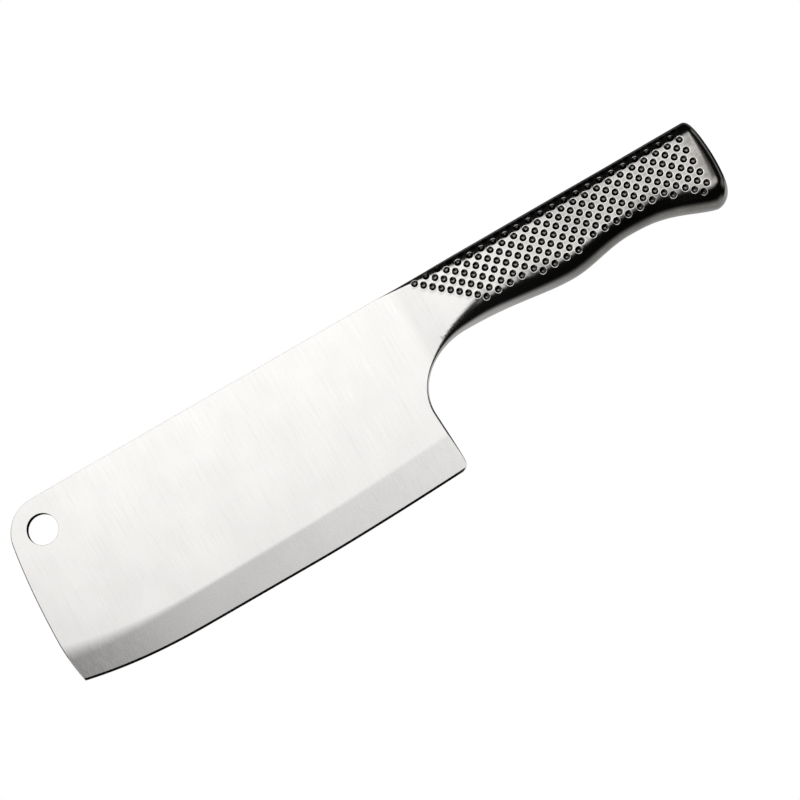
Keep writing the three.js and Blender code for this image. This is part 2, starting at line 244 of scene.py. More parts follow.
class CleaverForm(bpy.types.PropertyGroup):
    """Sizes of the fine forms that the solids leave plain."""
    dimple_radius: length_property("Dimple radius", "From a dimple's middle to its rim", 1.38 * MM)
    dimple_depth: length_property("Dimple depth", "How far a dimple is pressed in", 0.58 * MM)
    dimple_pitch: length_property("Dimple pitch", "Distance between dimples along a row", 4.92 * MM)
    dimple_row_pitch: length_property("Row pitch", "Distance between rows of dimples", 2.34 * MM)
    dimple_lip: length_property("Lip width", "Width of the raised lip round a dimple", 0.29 * MM)
    dimple_lip_height: length_property("Lip height", "How far the lip stands up", 0.015 * MM)
    dimple_sides: IntProperty(name="Dimple sides", description="Facets round a dimple", default=12, min=6)
    heel_softness: length_property("Heel softness", "Half the soft grind line's width at the heel", 0.7 * MM)
    tip_softness: length_property("Tip softness", "Half the soft grind line's width at the tip", 3.4 * MM)
    hole_softness: length_property("Hole softness", "Rounding of the hang hole's rims", 0.12 * MM)


class CleaverFinish(bpy.types.PropertyGroup):
    """Colours and grain of the steel and the sand."""
    blade_colour: colour_property("Blade steel", "Colour of the ground blade", "#E2E0DE")
    handle_colour: colour_property("Handle steel", "Colour of the satin handle", "#ADAAA6")
    # The lips' pale colour is partly polish and partly a painted highlight
    lip_polish_and_highlight_colour: colour_property("Dimple lip", "Colour of the polished lips", "#ECEAE7")
    speckle_colour: colour_property("Speckle", "Colour of the pits in the satin finish", "#83807C")
    bore_colour: colour_property("Hang hole", "Colour of the drilled wall", "#3A3836")
    bowl_colour: colour_property("Dimple bowl", "Colour of the blackened dimples", "#33302E")
    sand_colour: colour_property("Sand", "Colour of the light grains", "#CDB583")
    dark_sand_colour: colour_property("Dark sand", "Colour of the dark grains", "#7D6238")
    scratch_spacing: length_property("Scratch spacing", "Distance between the blade's scratches", 0.5 * MM)
    satin_grain: length_property("Satin grain", "Size of the pits in the handle's finish", 0.35 * MM)
    sand_grain: length_property("Sand grain", "Size of a grain of sand", 0.5 * MM)


class CleaverStudio(bpy.types.PropertyGroup):
    """Camera and light."""
    distance: length_property("Camera distance", "From the camera to the middle of the picture", 1.25)
    elevation: angle_property("Elevation", "Height of the camera above the horizon", -10)
    roll: angle_property("Roll", "How far the picture is turned", 30)
    picture_width: length_property("Picture width", "Width of the picture at the blade", 289 * MM)
    middle_x: length_property("Picture middle", "Where along the knife the picture is centred", 4.3 * MM, -1)
    middle_z: length_property("Middle height", "Height at which the picture is centred", 36.3 * MM, -1)
    brightness: FloatProperty(name="Brightness", description="Strength of the soft light", default=1.0, min=0)


def eased(x, keys):
    """A value that eases from key to key; a key is (x, value, skew) and a skew over 1 starts late."""
    x = np.asarray(x, float)
    value = np.full(x.shape, keys[0][1])
    for (from_x, start, _), (to_x, stop, skew) in zip(keys, keys[1:]):
        share = np.clip((x - from_x) / (to_x - from_x), 0, 1) ** skew
        value = np.where(x > from_x, start + (stop - start) * share * share * (3 - 2 * share), value)
    return value


def edge_depth(x):
    """Depth of the cutting edge below the spine."""
    to_tip = np.maximum(0, TIP_RISE_LENGTH - BLADE_LENGTH - x) / TIP_RISE_LENGTH
    to_heel = np.maximum(0, HEEL_RISE_LENGTH + x) / HEEL_RISE_LENGTH
    return BLADE_HEIGHT - TIP_RISE * to_tip ** TIP_RISE_POWER - HEEL_RISE * to_heel ** HEEL_RISE_POWER


def grind_depth(x):
    """Depth of the line where the cheek turns into the bevel."""
    share = -x / BLADE_LENGTH
    return edge_depth(x) - BEVEL_AT_HEEL - (BEVEL_AT_TIP - BEVEL_AT_HEEL) * share


def belly_depth(x):
    """Depth of the underside, from the choil along the handle to the butt."""
    share = np.clip((CHOIL_END - x) / CHOIL_LENGTH, 0, 1)
    choil = NECK_DEPTH + CHOIL_DROP * (1 - np.sqrt(1 - share ** 2))
    handle = eased(x, [
        (CHOIL_END, NECK_DEPTH, 1),
        (SWELL_AT, SWELL_DEPTH, SWELL_SKEW),
        (WAIST_AT, WAIST_DEPTH, 1),
        (BUTT_FLARE_END, BUTT_DEPTH, BUTT_FLARE_POWER),
    ])
    return np.where(x < CHOIL_END, choil, handle)


def half_width(x):
    return eased(x, [
        (FLARE_AT, BLADE_THICKNESS, 1),
        (NECK_WIDTH_AT, NECK_WIDTH, 1),
        (SWELL_AT, SWELL_WIDTH, 1),
        (WAIST_AT, WAIST_WIDTH, 1),
        (BUTT_START, BUTT_WIDTH, 1),
    ]) / 2


def top_reach(x):
    """How far down the upper rounding reaches: it grows from the blade's crowned spine."""
    return eased(x, [(HEEL_FACE, SPINE_CROWN, 1), (TOP_ROUND_AT, TOP_ROUND, 1)])


def bottom_reach(x):
    """How far up the lower rounding reaches: it grows from the crowned heel, and tightens at the waist."""
    return eased(x, [
        (HEEL_FACE, END_CROWN, 1),
        (BOTTOM_ROUND_AT, BOTTOM_ROUND, BOTTOM_ROUND_SKEW),
        (WAIST_AT, WAIST_ROUND, 1),
    ])


def section_at(x, inset=0.0):
    """The handle's section at x, or the section of its inside, set in by a wall."""
    least = LEAST_ROUND / 2
    return Section(
        top=np.zeros_like(x) + inset,
        bottom=belly_depth(x) - inset,
        half=half_width(x) - inset,
        top_round=np.maximum(top_reach(x) - inset, least),
        bottom_round=np.maximum(bottom_reach(x) - inset, least),
    )


def corner(turn):
    """How far out and how far down a rounding is, from its crest at 0 to its side at a right angle."""
    out = np.maximum(np.sin(turn), 0) ** ROUND_SHARE
    down = 1 - np.maximum(np.cos(turn), 0) ** ROUND_SHARE
    return out, down


def side_profile(section, share, cut):
    """Width and depth on one side: share 0 is the top seam, 1 to 2 the flat and 3 the bottom seam."""
    first = np.arcsin(np.minimum(cut / section.half, 1) ** (1 / ROUND_SHARE))
    rounded = np.clip(np.where(share < 1.5, share, 3 - share), 0, 1)
    out, down = corner(first + (math.pi / 2 - first) * rounded)
    high = section.top + section.top_round * down
    low = section.bottom - section.bottom_round * down
    flat = np.clip(share - 1, 0, 1)
    level = high + (low - high) * flat
    return section.half * out, np.where(share <= 1, high, np.where(share >= 2, low, level))


def to_frame(x, y, depth):
    """Points of the datum (x from the heel, depth below the spine) in the frame."""
    x, y, depth = np.broadcast_arrays(x, y, depth)
    return np.stack([x + HEEL_X, y, SPINE_Z - depth], axis=-1)


def butt_x(depth, turn, inset=0.0):
    """Where the butt is at a depth, rolled from the side (turn 0) to its crowned end (a right angle)."""
    upper = max(BUTT_UPPER_RADIUS - inset, LEAST_ROUND)
    lower = max(BUTT_LOWER_RADIUS - inset, LEAST_ROUND)
    off_middle = (2 * depth / BUTT_DEPTH - 1) ** 2
    crown = BUTT_CROWN * off_middle
    sweep = BUTT_SIDE_SWEEP * np.maximum(1 - off_middle, 0)
    radius = upper + (lower - upper) * depth / BUTT_DEPTH + sweep
    return HANDLE_LENGTH - inset - crown - radius * (1 - np.sin(turn))


def butt_section(turn, inset=0.0):
    """The section at the butt, drawn in as the handle rolls over."""
    whole = section_at(np.asarray(BUTT_START, float), inset)
    top, bottom, side = (
        max(radius - inset, LEAST_ROUND) * (1 - np.cos(turn))
        for radius in (BUTT_UPPER_RADIUS, BUTT_LOWER_RADIUS, BUTT_SIDE_RADIUS))
    return Section(
        top=whole.top + top,
        bottom=whole.bottom - bottom,
        half=whole.half - side,
        top_round=whole.top_round - top,
        bottom_round=whole.bottom_round - bottom,
    )


def grip(x, share, side, inset=0.0, cut=SEAM_HALF):
    """A point of the handle's surface on one side."""
    y, depth = side_profile(section_at(x, inset), share, cut)
    return to_frame(x, side * y, depth)


def roll(turn, share, side, inset=0.0):
    """A point of the rolled-over butt on one side."""
    y, depth = side_profile(butt_section(turn, inset), share, SEAM_HALF)
    return to_frame(butt_x(depth, turn, inset), side * y, depth)


def unit(vectors):
    return vectors / np.maximum(np.linalg.norm(vectors, axis=-1, keepdims=True), 1e-12)


def normals_of(form, a, b):
    """Normals of a form of two parameters, taken over small differences; they may face either way."""
    along = form(a + STEP, b) - form(a - STEP, b)
    across = form(a, b + STEP) - form(a, b - STEP)
    return unit(np.cross(along, across))


def grid_normals(points):
    """Normals of a grid of points, taken between neighbours; they may face either way."""
    return unit(np.cross(np.gradient(points, axis=0), np.gradient(points, axis=1)))


def faced(normals, facing):
    """Normals turned round where a measure of how they face is negative."""
    return normals * np.where(facing < 0, -1, 1)


def away_from(middle, points, normals):
    """Normals turned so that they lead away from the middle."""
    return faced(normals, ((points - middle) * normals).sum(-1, keepdims=True))


def handle_axis(points):
    """Points of the handle's middle, beside the given points or at the start of the butt."""
    x = np.minimum(points[..., 0], HEEL_X + BUTT_START)
    return np.stack([x, np.zeros_like(x), np.full_like(x, SPINE_Z - BUTT_DEPTH / 2)], axis=-1)


def grid_faces(rows, columns, closed=False):
    """Quads over a grid of points; a closed one joins the last column to the first."""
    last = columns if closed else columns - 1
    faces = []
    for i in range(rows - 1):
        for j in range(last):
            near, far = i * columns + j, i * columns + (j + 1) % columns
            faces.append((near, far, far + columns, near + columns))
    return faces


class Skin:
    """Patches of one piece's surface, each with its own normals and marks, that close into one mesh."""

    def __init__(self, *marks):
        self.marks = marks
        self.points, self.normals, self.values, self.faces = [], [], [], []
        self.count = 0

    def add(self, points, normals, faces, marks=None):
        """Add a patch, its faces turned to its normals. One normal may stand for all."""
        points = np.reshape(points, (-1, 3))
        if np.ndim(normals) == 1:
            normals = np.broadcast_to(normals, points.shape)
        normals = np.reshape(normals, (-1, 3))
        for face in faces:
            ring = points[list(face)]
            area = np.cross(ring[1:-1] - ring[0], ring[2:] - ring[0]).sum(axis=0)
            turned = area @ normals[list(face)].sum(axis=0) < 0
            self.faces.append([self.count + i for i in (reversed(face) if turned else face)])
        blank = np.zeros((len(points), len(self.marks)))
        self.points.append(points)
        self.normals.append(normals)
        self.values.append(blank if marks is None else marks)
        self.count += len(points)

    def mesh(self, name):
        """One mesh with its shared points merged. A face that has shrunk to a line is left out."""
        points, normals = np.concatenate(self.points), np.concatenate(self.normals)
        values = np.concatenate(self.values)
        places = np.round(points / SAME_PLACE).astype(np.int64)
        _, first, index = np.unique(places, axis=0, return_index=True, return_inverse=True)
        index = index.reshape(-1)
        faces, corners = [], []
        for face in self.faces:
            ring = [v for i, v in enumerate(face) if index[v] != index[face[i - 1]]]
            if len({index[v] for v in ring}) > 2:
                faces.append([int(index[v]) for v in ring])
                corners.extend(normals[v] for v in ring)
        mesh = bpy.data.meshes.new(name)
        mesh.from_pydata(points[first].tolist(), [], faces)
        for column, mark in enumerate(self.marks):
            attribute = mesh.attributes.new(mark, "FLOAT", "POINT")
            attribute.data.foreach_set("value", values[first, column].astype(np.float32))
        mesh.shade_smooth()
        mesh.normals_split_custom_set([tuple(normal) for normal in corners])
        return mesh


def link(name, data):
    """A new object in the scene."""
    thing = bpy.data.objects.new(name, data)
    bpy.context.scene.collection.objects.link(thing)
    return thing


def place(skin, name, material, slot, *nodes):
    """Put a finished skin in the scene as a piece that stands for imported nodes."""
    mesh = skin.mesh(name)
    mesh.materials.append(material)
    piece = link(name, mesh)
    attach(piece, BODY)
    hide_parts(*nodes)


def inside(points, loop, margin):
    """Which points lie inside a loop, and further than a margin from it."""
    start, stop = loop, np.roll(loop, -1, axis=0)
    x, y = points[:, :1], points[:, 1:]
    rises = (start[:, 1] > y) != (stop[:, 1] > y)
    height = np.where(stop[:, 1] == start[:, 1], 1, stop[:, 1] - start[:, 1])
    meeting = start[:, 0] + (y - start[:, 1]) * (stop[:, 0] - start[:, 0]) / height
    within = (rises & (x < meeting)).sum(axis=1) % 2 == 1
    run = stop - start
    offset = points[:, None, :] - start
    share = np.clip((offset * run).sum(-1) / np.maximum((run * run).sum(-1), 1e-18), 0, 1)
    gap = np.linalg.norm(offset - share[..., None] * run, axis=-1).min(axis=1)
    return within & (gap > margin)


def triangles(points, chains):
    """Triangles between flat points inside the outermost chain; every chain stays as edges."""
    edges = [pair for chain in chains for pair in zip(chain, chain[1:])]
    flat = [Vector(point) for point in points / MM]
    _, _, faces, origins, _, _ = delaunay_2d_cdt(flat, edges, [], INSIDE_CHAINS, SAME_PLACE)
    return [[origins[i][0] for i in face] for face in faces]


def staggered(low, high, spacing):
    """A flat field of evenly staggered points."""
    rows = np.arange(low[1], high[1], spacing * math.sqrt(3) / 2)
    columns = np.arange(low[0], high[0], spacing)
    x = columns[None, :] + spacing / 2 * (np.arange(len(rows)) % 2)[:, None]
    y = np.broadcast_to(rows[:, None], x.shape)
    return np.stack([x.ravel(), y.ravel()], axis=1)


def add(tree, kind, given=None, **settings):
    """Add a node with its settings, and set or link its sockets."""
    node = tree.nodes.new(kind)
    for name, value in settings.items():
        setattr(node, name, value)
    for socket, value in (given or {}).items():
        if isinstance(value, bpy.types.NodeSocket):
            tree.links.new(value, node.inputs[socket])
        else:
            node.inputs[socket].default_value = value
    return node


def calc(tree, operation, *values):
    """The result of a sum on sockets or numbers."""
    return add(tree, "ShaderNodeMath", dict(enumerate(values)), operation=operation).outputs[0]


def remap(tree, value, start, stop, low=0.0, high=1.0, smooth=False):
    """A value carried from one range to another and held at its ends."""
    return add(tree, "ShaderNodeMapRange", {
        "Value": value, "From Min": start, "From Max": stop, "To Min": low, "To Max": high},
        interpolation_type="SMOOTHSTEP" if smooth else "LINEAR").outputs[0]


def blend(tree, share, *colours):
    """A colour between two, each a socket or a plain colour."""
    first, second = (c if isinstance(c, bpy.types.NodeSocket) else (*c, 1) for c in colours)
    return add(tree, "ShaderNodeMix", {0: share, 6: first, 7: second}, data_type="RGBA").outputs[2]


def noise(tree, where, size, detail, roughness=0.5):
    return add(tree, "ShaderNodeTexNoise", {
        "Vector": where, "Scale": 1 / size, "Detail": detail, "Roughness": roughness}).outputs[0]


def mark(tree, name):
    """A mark that the piece's own mesh carries."""
    return add(tree, "ShaderNodeAttribute", attribute_name=name).outputs["Fac"]


def new_material(name):
    """An empty material, its nodes, and the piece's own coordinates."""
    material = bpy.data.materials.new(name)
    material.use_nodes = True
    tree = material.node_tree
    tree.nodes.clear()
    return material, tree, add(tree, "ShaderNodeTexCoord").outputs["Object"]


def dress(tree, colour, rough, relief, more):
    """End a material's nodes in one surface."""
    surface = add(tree, "ShaderNodeBsdfPrincipled", {
        "Base Color": colour, "Roughness": rough, "Normal": relief.outputs[0], **more})
    add(tree, "ShaderNodeOutputMaterial", {"Surface": surface.outputs[0]})


def scratches(tree, finish, where):
    """The lay of the grinding belt, from spine to edge."""
    # Real scratches lie about 0.1 mm apart; they are drawn coarser here so that they show
    across = 1 / finish.scratch_spacing
    lay = add(tree, "ShaderNodeMapping", {
        "Vector": where, "Scale": (across, across, across / SCRATCH_LENGTH)})
    return noise(tree, lay.outputs[0], 1.0, 4.0, 0.65)


def ground_colour_and_shade(tree, finish, where, scratch):
    """Colour of belt-ground steel: scratches, uneven pressure, and painted shade that darkens it towards the
    tip and the edge.
    """
    x, _, z = add(tree, "ShaderNodeSeparateXYZ", {0: where}).outputs
    tip = HEEL_X - BLADE_LENGTH
    shade = 1.0
    # The last two factors are painted shade: they darken the steel towards the tip and towards the edge
    for value, start, stop, low, high in (
            (scratch, 0.3, 0.7, 0.975, 1.02),
            (noise(tree, where, BELT_CLOUD, 2.0), 0.3, 0.7, 0.97, 1.02),
            (x, tip, tip + PAINTED_TIP_SHADE_LENGTH, 0.95, 1.0),
            (z, SPINE_Z - PAINTED_EDGE_SHADE_DEPTH, SPINE_Z, 0.9, 1.0)):
        shade = calc(tree, "MULTIPLY", remap(tree, value, start, stop, low, high), shade)
    return add(tree, "ShaderNodeVectorMath", {
        0: tuple(finish.blade_colour), "Scale": shade}, operation="SCALE").outputs[0]


def blade_steel(finish):
    """Martensitic stainless steel, belt-ground from spine to edge in close fine scratches."""
    material, tree, where = new_material("Belt-ground martensitic stainless steel")
    scratch = scratches(tree, finish, where)
    # The drilled wall is drawn dark, at grazing angles too
    bore = mark(tree, "bore")
    colour = blend(tree, bore, ground_colour_and_shade(tree, finish, where, scratch), finish.bore_colour)
    sheen = blend(tree, bore, (1, 1, 1), finish.bore_colour)
    # The honed edge is finer than the belt-ground faces
    ground = remap(tree, scratch, 0.3, 0.7, 0.2, 0.3)
    rough = add(tree, "ShaderNodeMix", {0: mark(tree, "honed"), 2: ground, 3: 0.08}).outputs[0]
    bump = add(tree, "ShaderNodeBump", {"Height": scratch, "Strength": 0.15, "Distance": 0.01 * MM})
    dress(tree, colour, rough, bump, {"Metallic": 1.0, "Specular Tint": sheen})
    return material


def handle_steel(finish, name):
    """Austenitic stainless steel, blasted to a fine satin; dimples blackened, lips polished and partly
    painted as a highlight, neck ground, land painted darker towards the butt as shade.
    """
    material, tree, where = new_material(name)
    # Blasting pits are about 0.05 mm wide; they are drawn coarser here so that they show
    pits = noise(tree, where, finish.satin_grain, 3.0, 0.6)
    cloud = noise(tree, where, BLAST_CLOUD, 2.0)
    even = remap(tree, cloud, 0.38, 0.6, 0.25, 1.0)
    share = calc(tree, "MULTIPLY", remap(tree, pits, 0.36, 0.6), even)
    satin = blend(tree, share, finish.speckle_colour, finish.handle_colour)
    # The blade's grinding runs out over the neck; the ground colour fades out further, so the land is painted
    # darker towards the butt as shade
    scratch = scratches(tree, finish, where)
    x = add(tree, "ShaderNodeSeparateXYZ", {0: where}).outputs[0]
    ground, ground_run_and_painted_shade = (
        remap(tree, x, NECK_WELD_AT + HEEL_X, end + HEEL_X, 1.0, 0.0, smooth=True)
        for end in (GRINDING_END, SATIN_PAINTED_SHADE_AT))
    land = blend(tree, ground_run_and_painted_shade, satin, ground_colour_and_shade(tree, finish, where, scratch))
    # Painted highlight: the lips are paler than the land, partly for polish and partly to stand in for their
    # glint
    bright = blend(tree, mark(tree, "lip"), land, finish.lip_polish_and_highlight_colour)
    colour = blend(tree, mark(tree, "bowl"), bright, finish.bowl_colour)
    fine = remap(tree, pits, 0.3, 0.7, 0.2, 0.12)
    coarse = remap(tree, scratch, 0.3, 0.7, 0.2, 0.3)
    rough = add(tree, "ShaderNodeMix", {0: ground, 2: fine, 3: coarse}).outputs[0]
    bump = add(tree, "ShaderNodeBump", {"Height": pits, "Strength": 0.15, "Distance": 0.02 * MM})
    dress(tree, colour, rough, bump, {"Metallic": 1.0})
    return material


def dry_sand(finish):
    """Dry washed quartz sand: pale and dark grains that catch the light each in its own way."""
    material, tree, where = new_material("Dry quartz sand")
    grains = add(tree, "ShaderNodeTexVoronoi", {"Vector": where, "Scale": 1 / finish.sand_grain}).outputs
    tint = add(tree, "ShaderNodeSeparateColor", {"Color": grains["Color"]}).outputs
    colour = blend(tree, tint[0], finish.dark_sand_colour, finish.sand_colour)
    bump = add(tree, "ShaderNodeBump", {
        "Height": grains["Distance"], "Strength": 0.8, "Distance": 0.2 * MM}, invert=True)
    dress(tree, colour, remap(tree, tint[1], 0.0, 1.0, 0.7, 0.95), bump, {})
    return material


def grind_softness(form):
    """Half the width of the softened grind line over x: firm, and soft over the last stretch to the tip."""
    def softness(x):
        to_tip = np.clip((SOFT_LENGTH - BLADE_LENGTH - x) / SOFT_LENGTH, 0, 1)
        return form.heel_softness + (form.tip_softness - form.heel_softness) * to_tip ** SOFT_POWER

    return softness


def blade_half(x, depth, softness):
    """Half the blade's thickness: flat cheek, soft grind line, bevel, honed edge and swelling neck."""
    edge, grind, soft_half = edge_depth(x), grind_depth(x), softness(x)
    slope = (BLADE_THICKNESS - HONED_SHOULDER) / 2 / (edge - HONED_HEIGHT - grind)
    past = depth - grind
    soft = np.clip((past + soft_half) / (2 * soft_half), 0, 1)
    drop = slope * np.where(past < soft_half, soft_half * soft ** 2, past)
    honed = EDGE_WIDTH / 2 + (edge - depth) * (HONED_SHOULDER - EDGE_WIDTH) / 2 / HONED_HEIGHT
    return np.minimum(BLADE_THICKNESS / 2 - drop, honed) + half_width(x) - BLADE_THICKNESS / 2


def tip_x(depth):
    """The tip end's outline below its bulge."""
    share = (depth - TIP_BULGE_DEPTH) / (TIP_FOOT_DEPTH - TIP_BULGE_DEPTH)
    return TIP_FOOT_INSET * share ** 2 - BLADE_LENGTH


def heel_x(depth):
    """The back of the heel, from the choil to its rounded corner."""
    arc_depth = edge_depth(-HEEL_CORNER_RADIUS) - HEEL_CORNER_RADIUS
    if depth > arc_depth:
        return math.sqrt(max(HEEL_CORNER_RADIUS ** 2 - (depth - arc_depth) ** 2, 0)) - HEEL_CORNER_RADIUS
    share = (arc_depth - depth) / (arc_depth - CHOIL_FOOT)
    return HEEL_FACE * share ** 2 * (2 - share)


def crossing(outline, row, low, high):
    """The depth at which an end's outline crosses a row of the bevel."""
    for _ in range(HALVINGS):
        middle = (low + high) / 2
        if middle < row(outline(middle)):
            low = middle
        else:
            high = middle
    return (low + high) / 2


def bevel_rows(softness):
    """Lines along the bevel, from above the grind line to the edge, each a depth over x."""
    def upper(share):
        return lambda x: grind_depth(x) + share * softness(x)

    def between(share):
        return lambda x: (1 - share) * (grind_depth(x) + softness(x)) + share * (edge_depth(x) - HONED_HEIGHT)

    def lower(offset):
        return lambda x: edge_depth(x) - offset

    return [
        *(upper(share) for share in (-1, -0.5, 0, 0.5, 1)),
        *(between(share) for share in (0.25, 0.5, 0.75)),
        *(lower(offset) for offset in (HONED_HEIGHT + HONED_TURN, HONED_HEIGHT - HONED_TURN, 0)),
    ]


def quadratic(start, control, stop, steps):
    """Points of a curve with one control point, and the way in on its right-hand side."""
    t = np.linspace(0, 1, steps + 1)[:, None]
    start, control, stop = (np.array(point, float) for point in (start, control, stop))
    points = (1 - t) ** 2 * start + 2 * t * (1 - t) * control + t ** 2 * stop
    run = unit(2 * (1 - t) * (control - start) + 2 * t * (stop - control))
    return points, np.stack([run[:, 1], -run[:, 0]], axis=1)


def spine_rim(rows):
    """The outline from the neck's top along the spine and down the tip end.

    Gives points, ways in, the reach of the crown, and which points start the rows of the bevel.
    """
    lean_x = TIP_CORNER_INSET - BLADE_LENGTH
    middle_x = lean_x + TIP_CORNER_RADIUS * math.cos(TIP_LEAN)
    neck = np.linspace(NECK_WELD_AT, HEEL_FACE, NECK_STEPS + 1)[:-1]
    spine = np.concatenate([neck, np.linspace(HEEL_FACE, middle_x, SPINE_STEPS + 1)])
    turn = np.linspace(math.pi / 2, math.pi - TIP_LEAN, TIP_STEPS + 1)[1:]
    away = np.stack([np.cos(turn), -np.sin(turn)], axis=1)
    lean_start = TIP_CORNER_RADIUS * (1 - math.sin(TIP_LEAN))
    control = (-BLADE_LENGTH, lean_start + TIP_CORNER_INSET / math.tan(TIP_LEAN))
    lean, lean_ways = quadratic((lean_x, lean_start), control, (-BLADE_LENGTH, TIP_BULGE_DEPTH), LEAN_STEPS)
    depths = [crossing(tip_x, row, TIP_BULGE_DEPTH, BLADE_HEIGHT) for row in rows]
    points = np.concatenate([
        np.stack([spine, np.zeros_like(spine)], axis=1),
        [middle_x, TIP_CORNER_RADIUS] + TIP_CORNER_RADIUS * away,
        lean[1:],
        [(tip_x(depth), depth) for depth in depths],
    ])
    ways = np.concatenate([
        np.tile([0.0, 1.0], (len(spine), 1)), -away, lean_ways[1:], np.tile([1.0, 0.0], (len(depths), 1))])
    rounded = np.clip(points[:, 1] / TIP_CORNER_RADIUS, 0, 1)
    reach = top_reach(points[:, 0]) + (END_CROWN - SPINE_CROWN) * rounded
    return points, ways, reach, range(len(points) - len(rows), len(points))


def heel_rim(rows):
    """The outline from the edge up the back of the heel and round the choil to the neck's underside.

    Gives points, ways in, the reach of the crown, and which points end the rows of the bevel.
    """
    low_end = edge_depth(-HEEL_CORNER_RADIUS)
    crossings = [crossing(heel_x, row, CHOIL_FOOT, low_end) for row in rows]
    arc = low_end - HEEL_CORNER_RADIUS * (1 - np.sin(HEEL_CORNER_TURNS))
    arc = [depth for depth in arc if min(abs(depth - other) for other in crossings) > HONED_TURN]
    depths = sorted([*crossings, *arc], reverse=True)
    marks = [depths.index(depth) for depth in crossings]
    depths += list(np.linspace(depths[-1], CHOIL_FOOT, HEEL_STEPS + 1)[1:-1])
    last = math.acos((CHOIL_END - NECK_WELD_AT) / CHOIL_LENGTH)
    turn = np.linspace(0, last, CHOIL_STEPS + 1)
    square = unit(np.stack([-CHOIL_DROP * np.cos(turn), -CHOIL_LENGTH * np.sin(turn)], axis=1))
    share = (turn / last)[:, None]
    upright = share * share * (3 - 2 * share)
    choil_x, choil_depth = CHOIL_END - CHOIL_LENGTH * np.cos(turn), CHOIL_FOOT - CHOIL_DROP * np.sin(turn)
    points = np.concatenate([
        [(heel_x(depth), depth) for depth in depths], np.stack([choil_x, choil_depth], axis=1)])
    ways = np.concatenate([
        np.tile([-1.0, 0.0], (len(depths), 1)), unit(square * (1 - upright) + upright * [0.0, -1.0])])
    return points, ways, bottom_reach(points[:, 0]), marks


def taper_crown(points, ways, reach, softness):
    """Ends of the crown on the cheek: where the blade thins, the crown draws in with it."""
    half = blade_half(points[:, 0], points[:, 1], softness)
    thin = np.where(points[:, 1] > TIP_BULGE_DEPTH, np.minimum(half / (BLADE_THICKNESS / 2), 1), 1)
    reach = reach * thin
    return points + ways * reach[:, None], reach


def cheek_normals(x, depth, side, softness):
    """Normals of the blade's side, from how fast its thickness changes."""
    by_x = blade_half(x + STEP, depth, softness) - blade_half(x - STEP, depth, softness)
    by_depth = blade_half(x, depth + STEP, softness) - blade_half(x, depth - STEP, softness)
    out = np.full_like(by_x, 2 * STEP * side)
    return unit(np.stack([-by_x, out, by_depth], axis=-1))


def crown_strip(skin, points, ways, reach, softness):
    """The crowned rim of the blade, from one cheek over the outline to the other."""
    turn = np.linspace(-math.pi / 2, math.pi / 2, 2 * RIM_STEPS + 1)
    out, down = corner(np.abs(turn))
    x = points[:, :1] + ways[:, :1] * reach[:, None] * down
    depth = points[:, 1:] + ways[:, 1:] * reach[:, None] * down
    half = blade_half(x[:, -1:], depth[:, -1:], softness)
    swell = half_width(x) / half_width(x[:, -1:])
    strip = to_frame(x, np.sign(turn) * out * half * swell, depth)
    within = points + WELL_INSIDE * ways
    normals = away_from(to_frame(within[:, :1], 0, within[:, 1:]), strip, grid_normals(strip))
    for column, side in ((0, LEFT), (-1, RIGHT)):
        normals[:, column] = cheek_normals(x[:, column], depth[:, column], side, softness)
    skin.add(strip, normals, grid_faces(*strip.shape[:2]))
    return strip


def circle(middle, radius, turn):
    """Points round a middle; a column of radii gives rings."""
    return middle[0] + radius * np.cos(turn), middle[1] + radius * np.sin(turn)


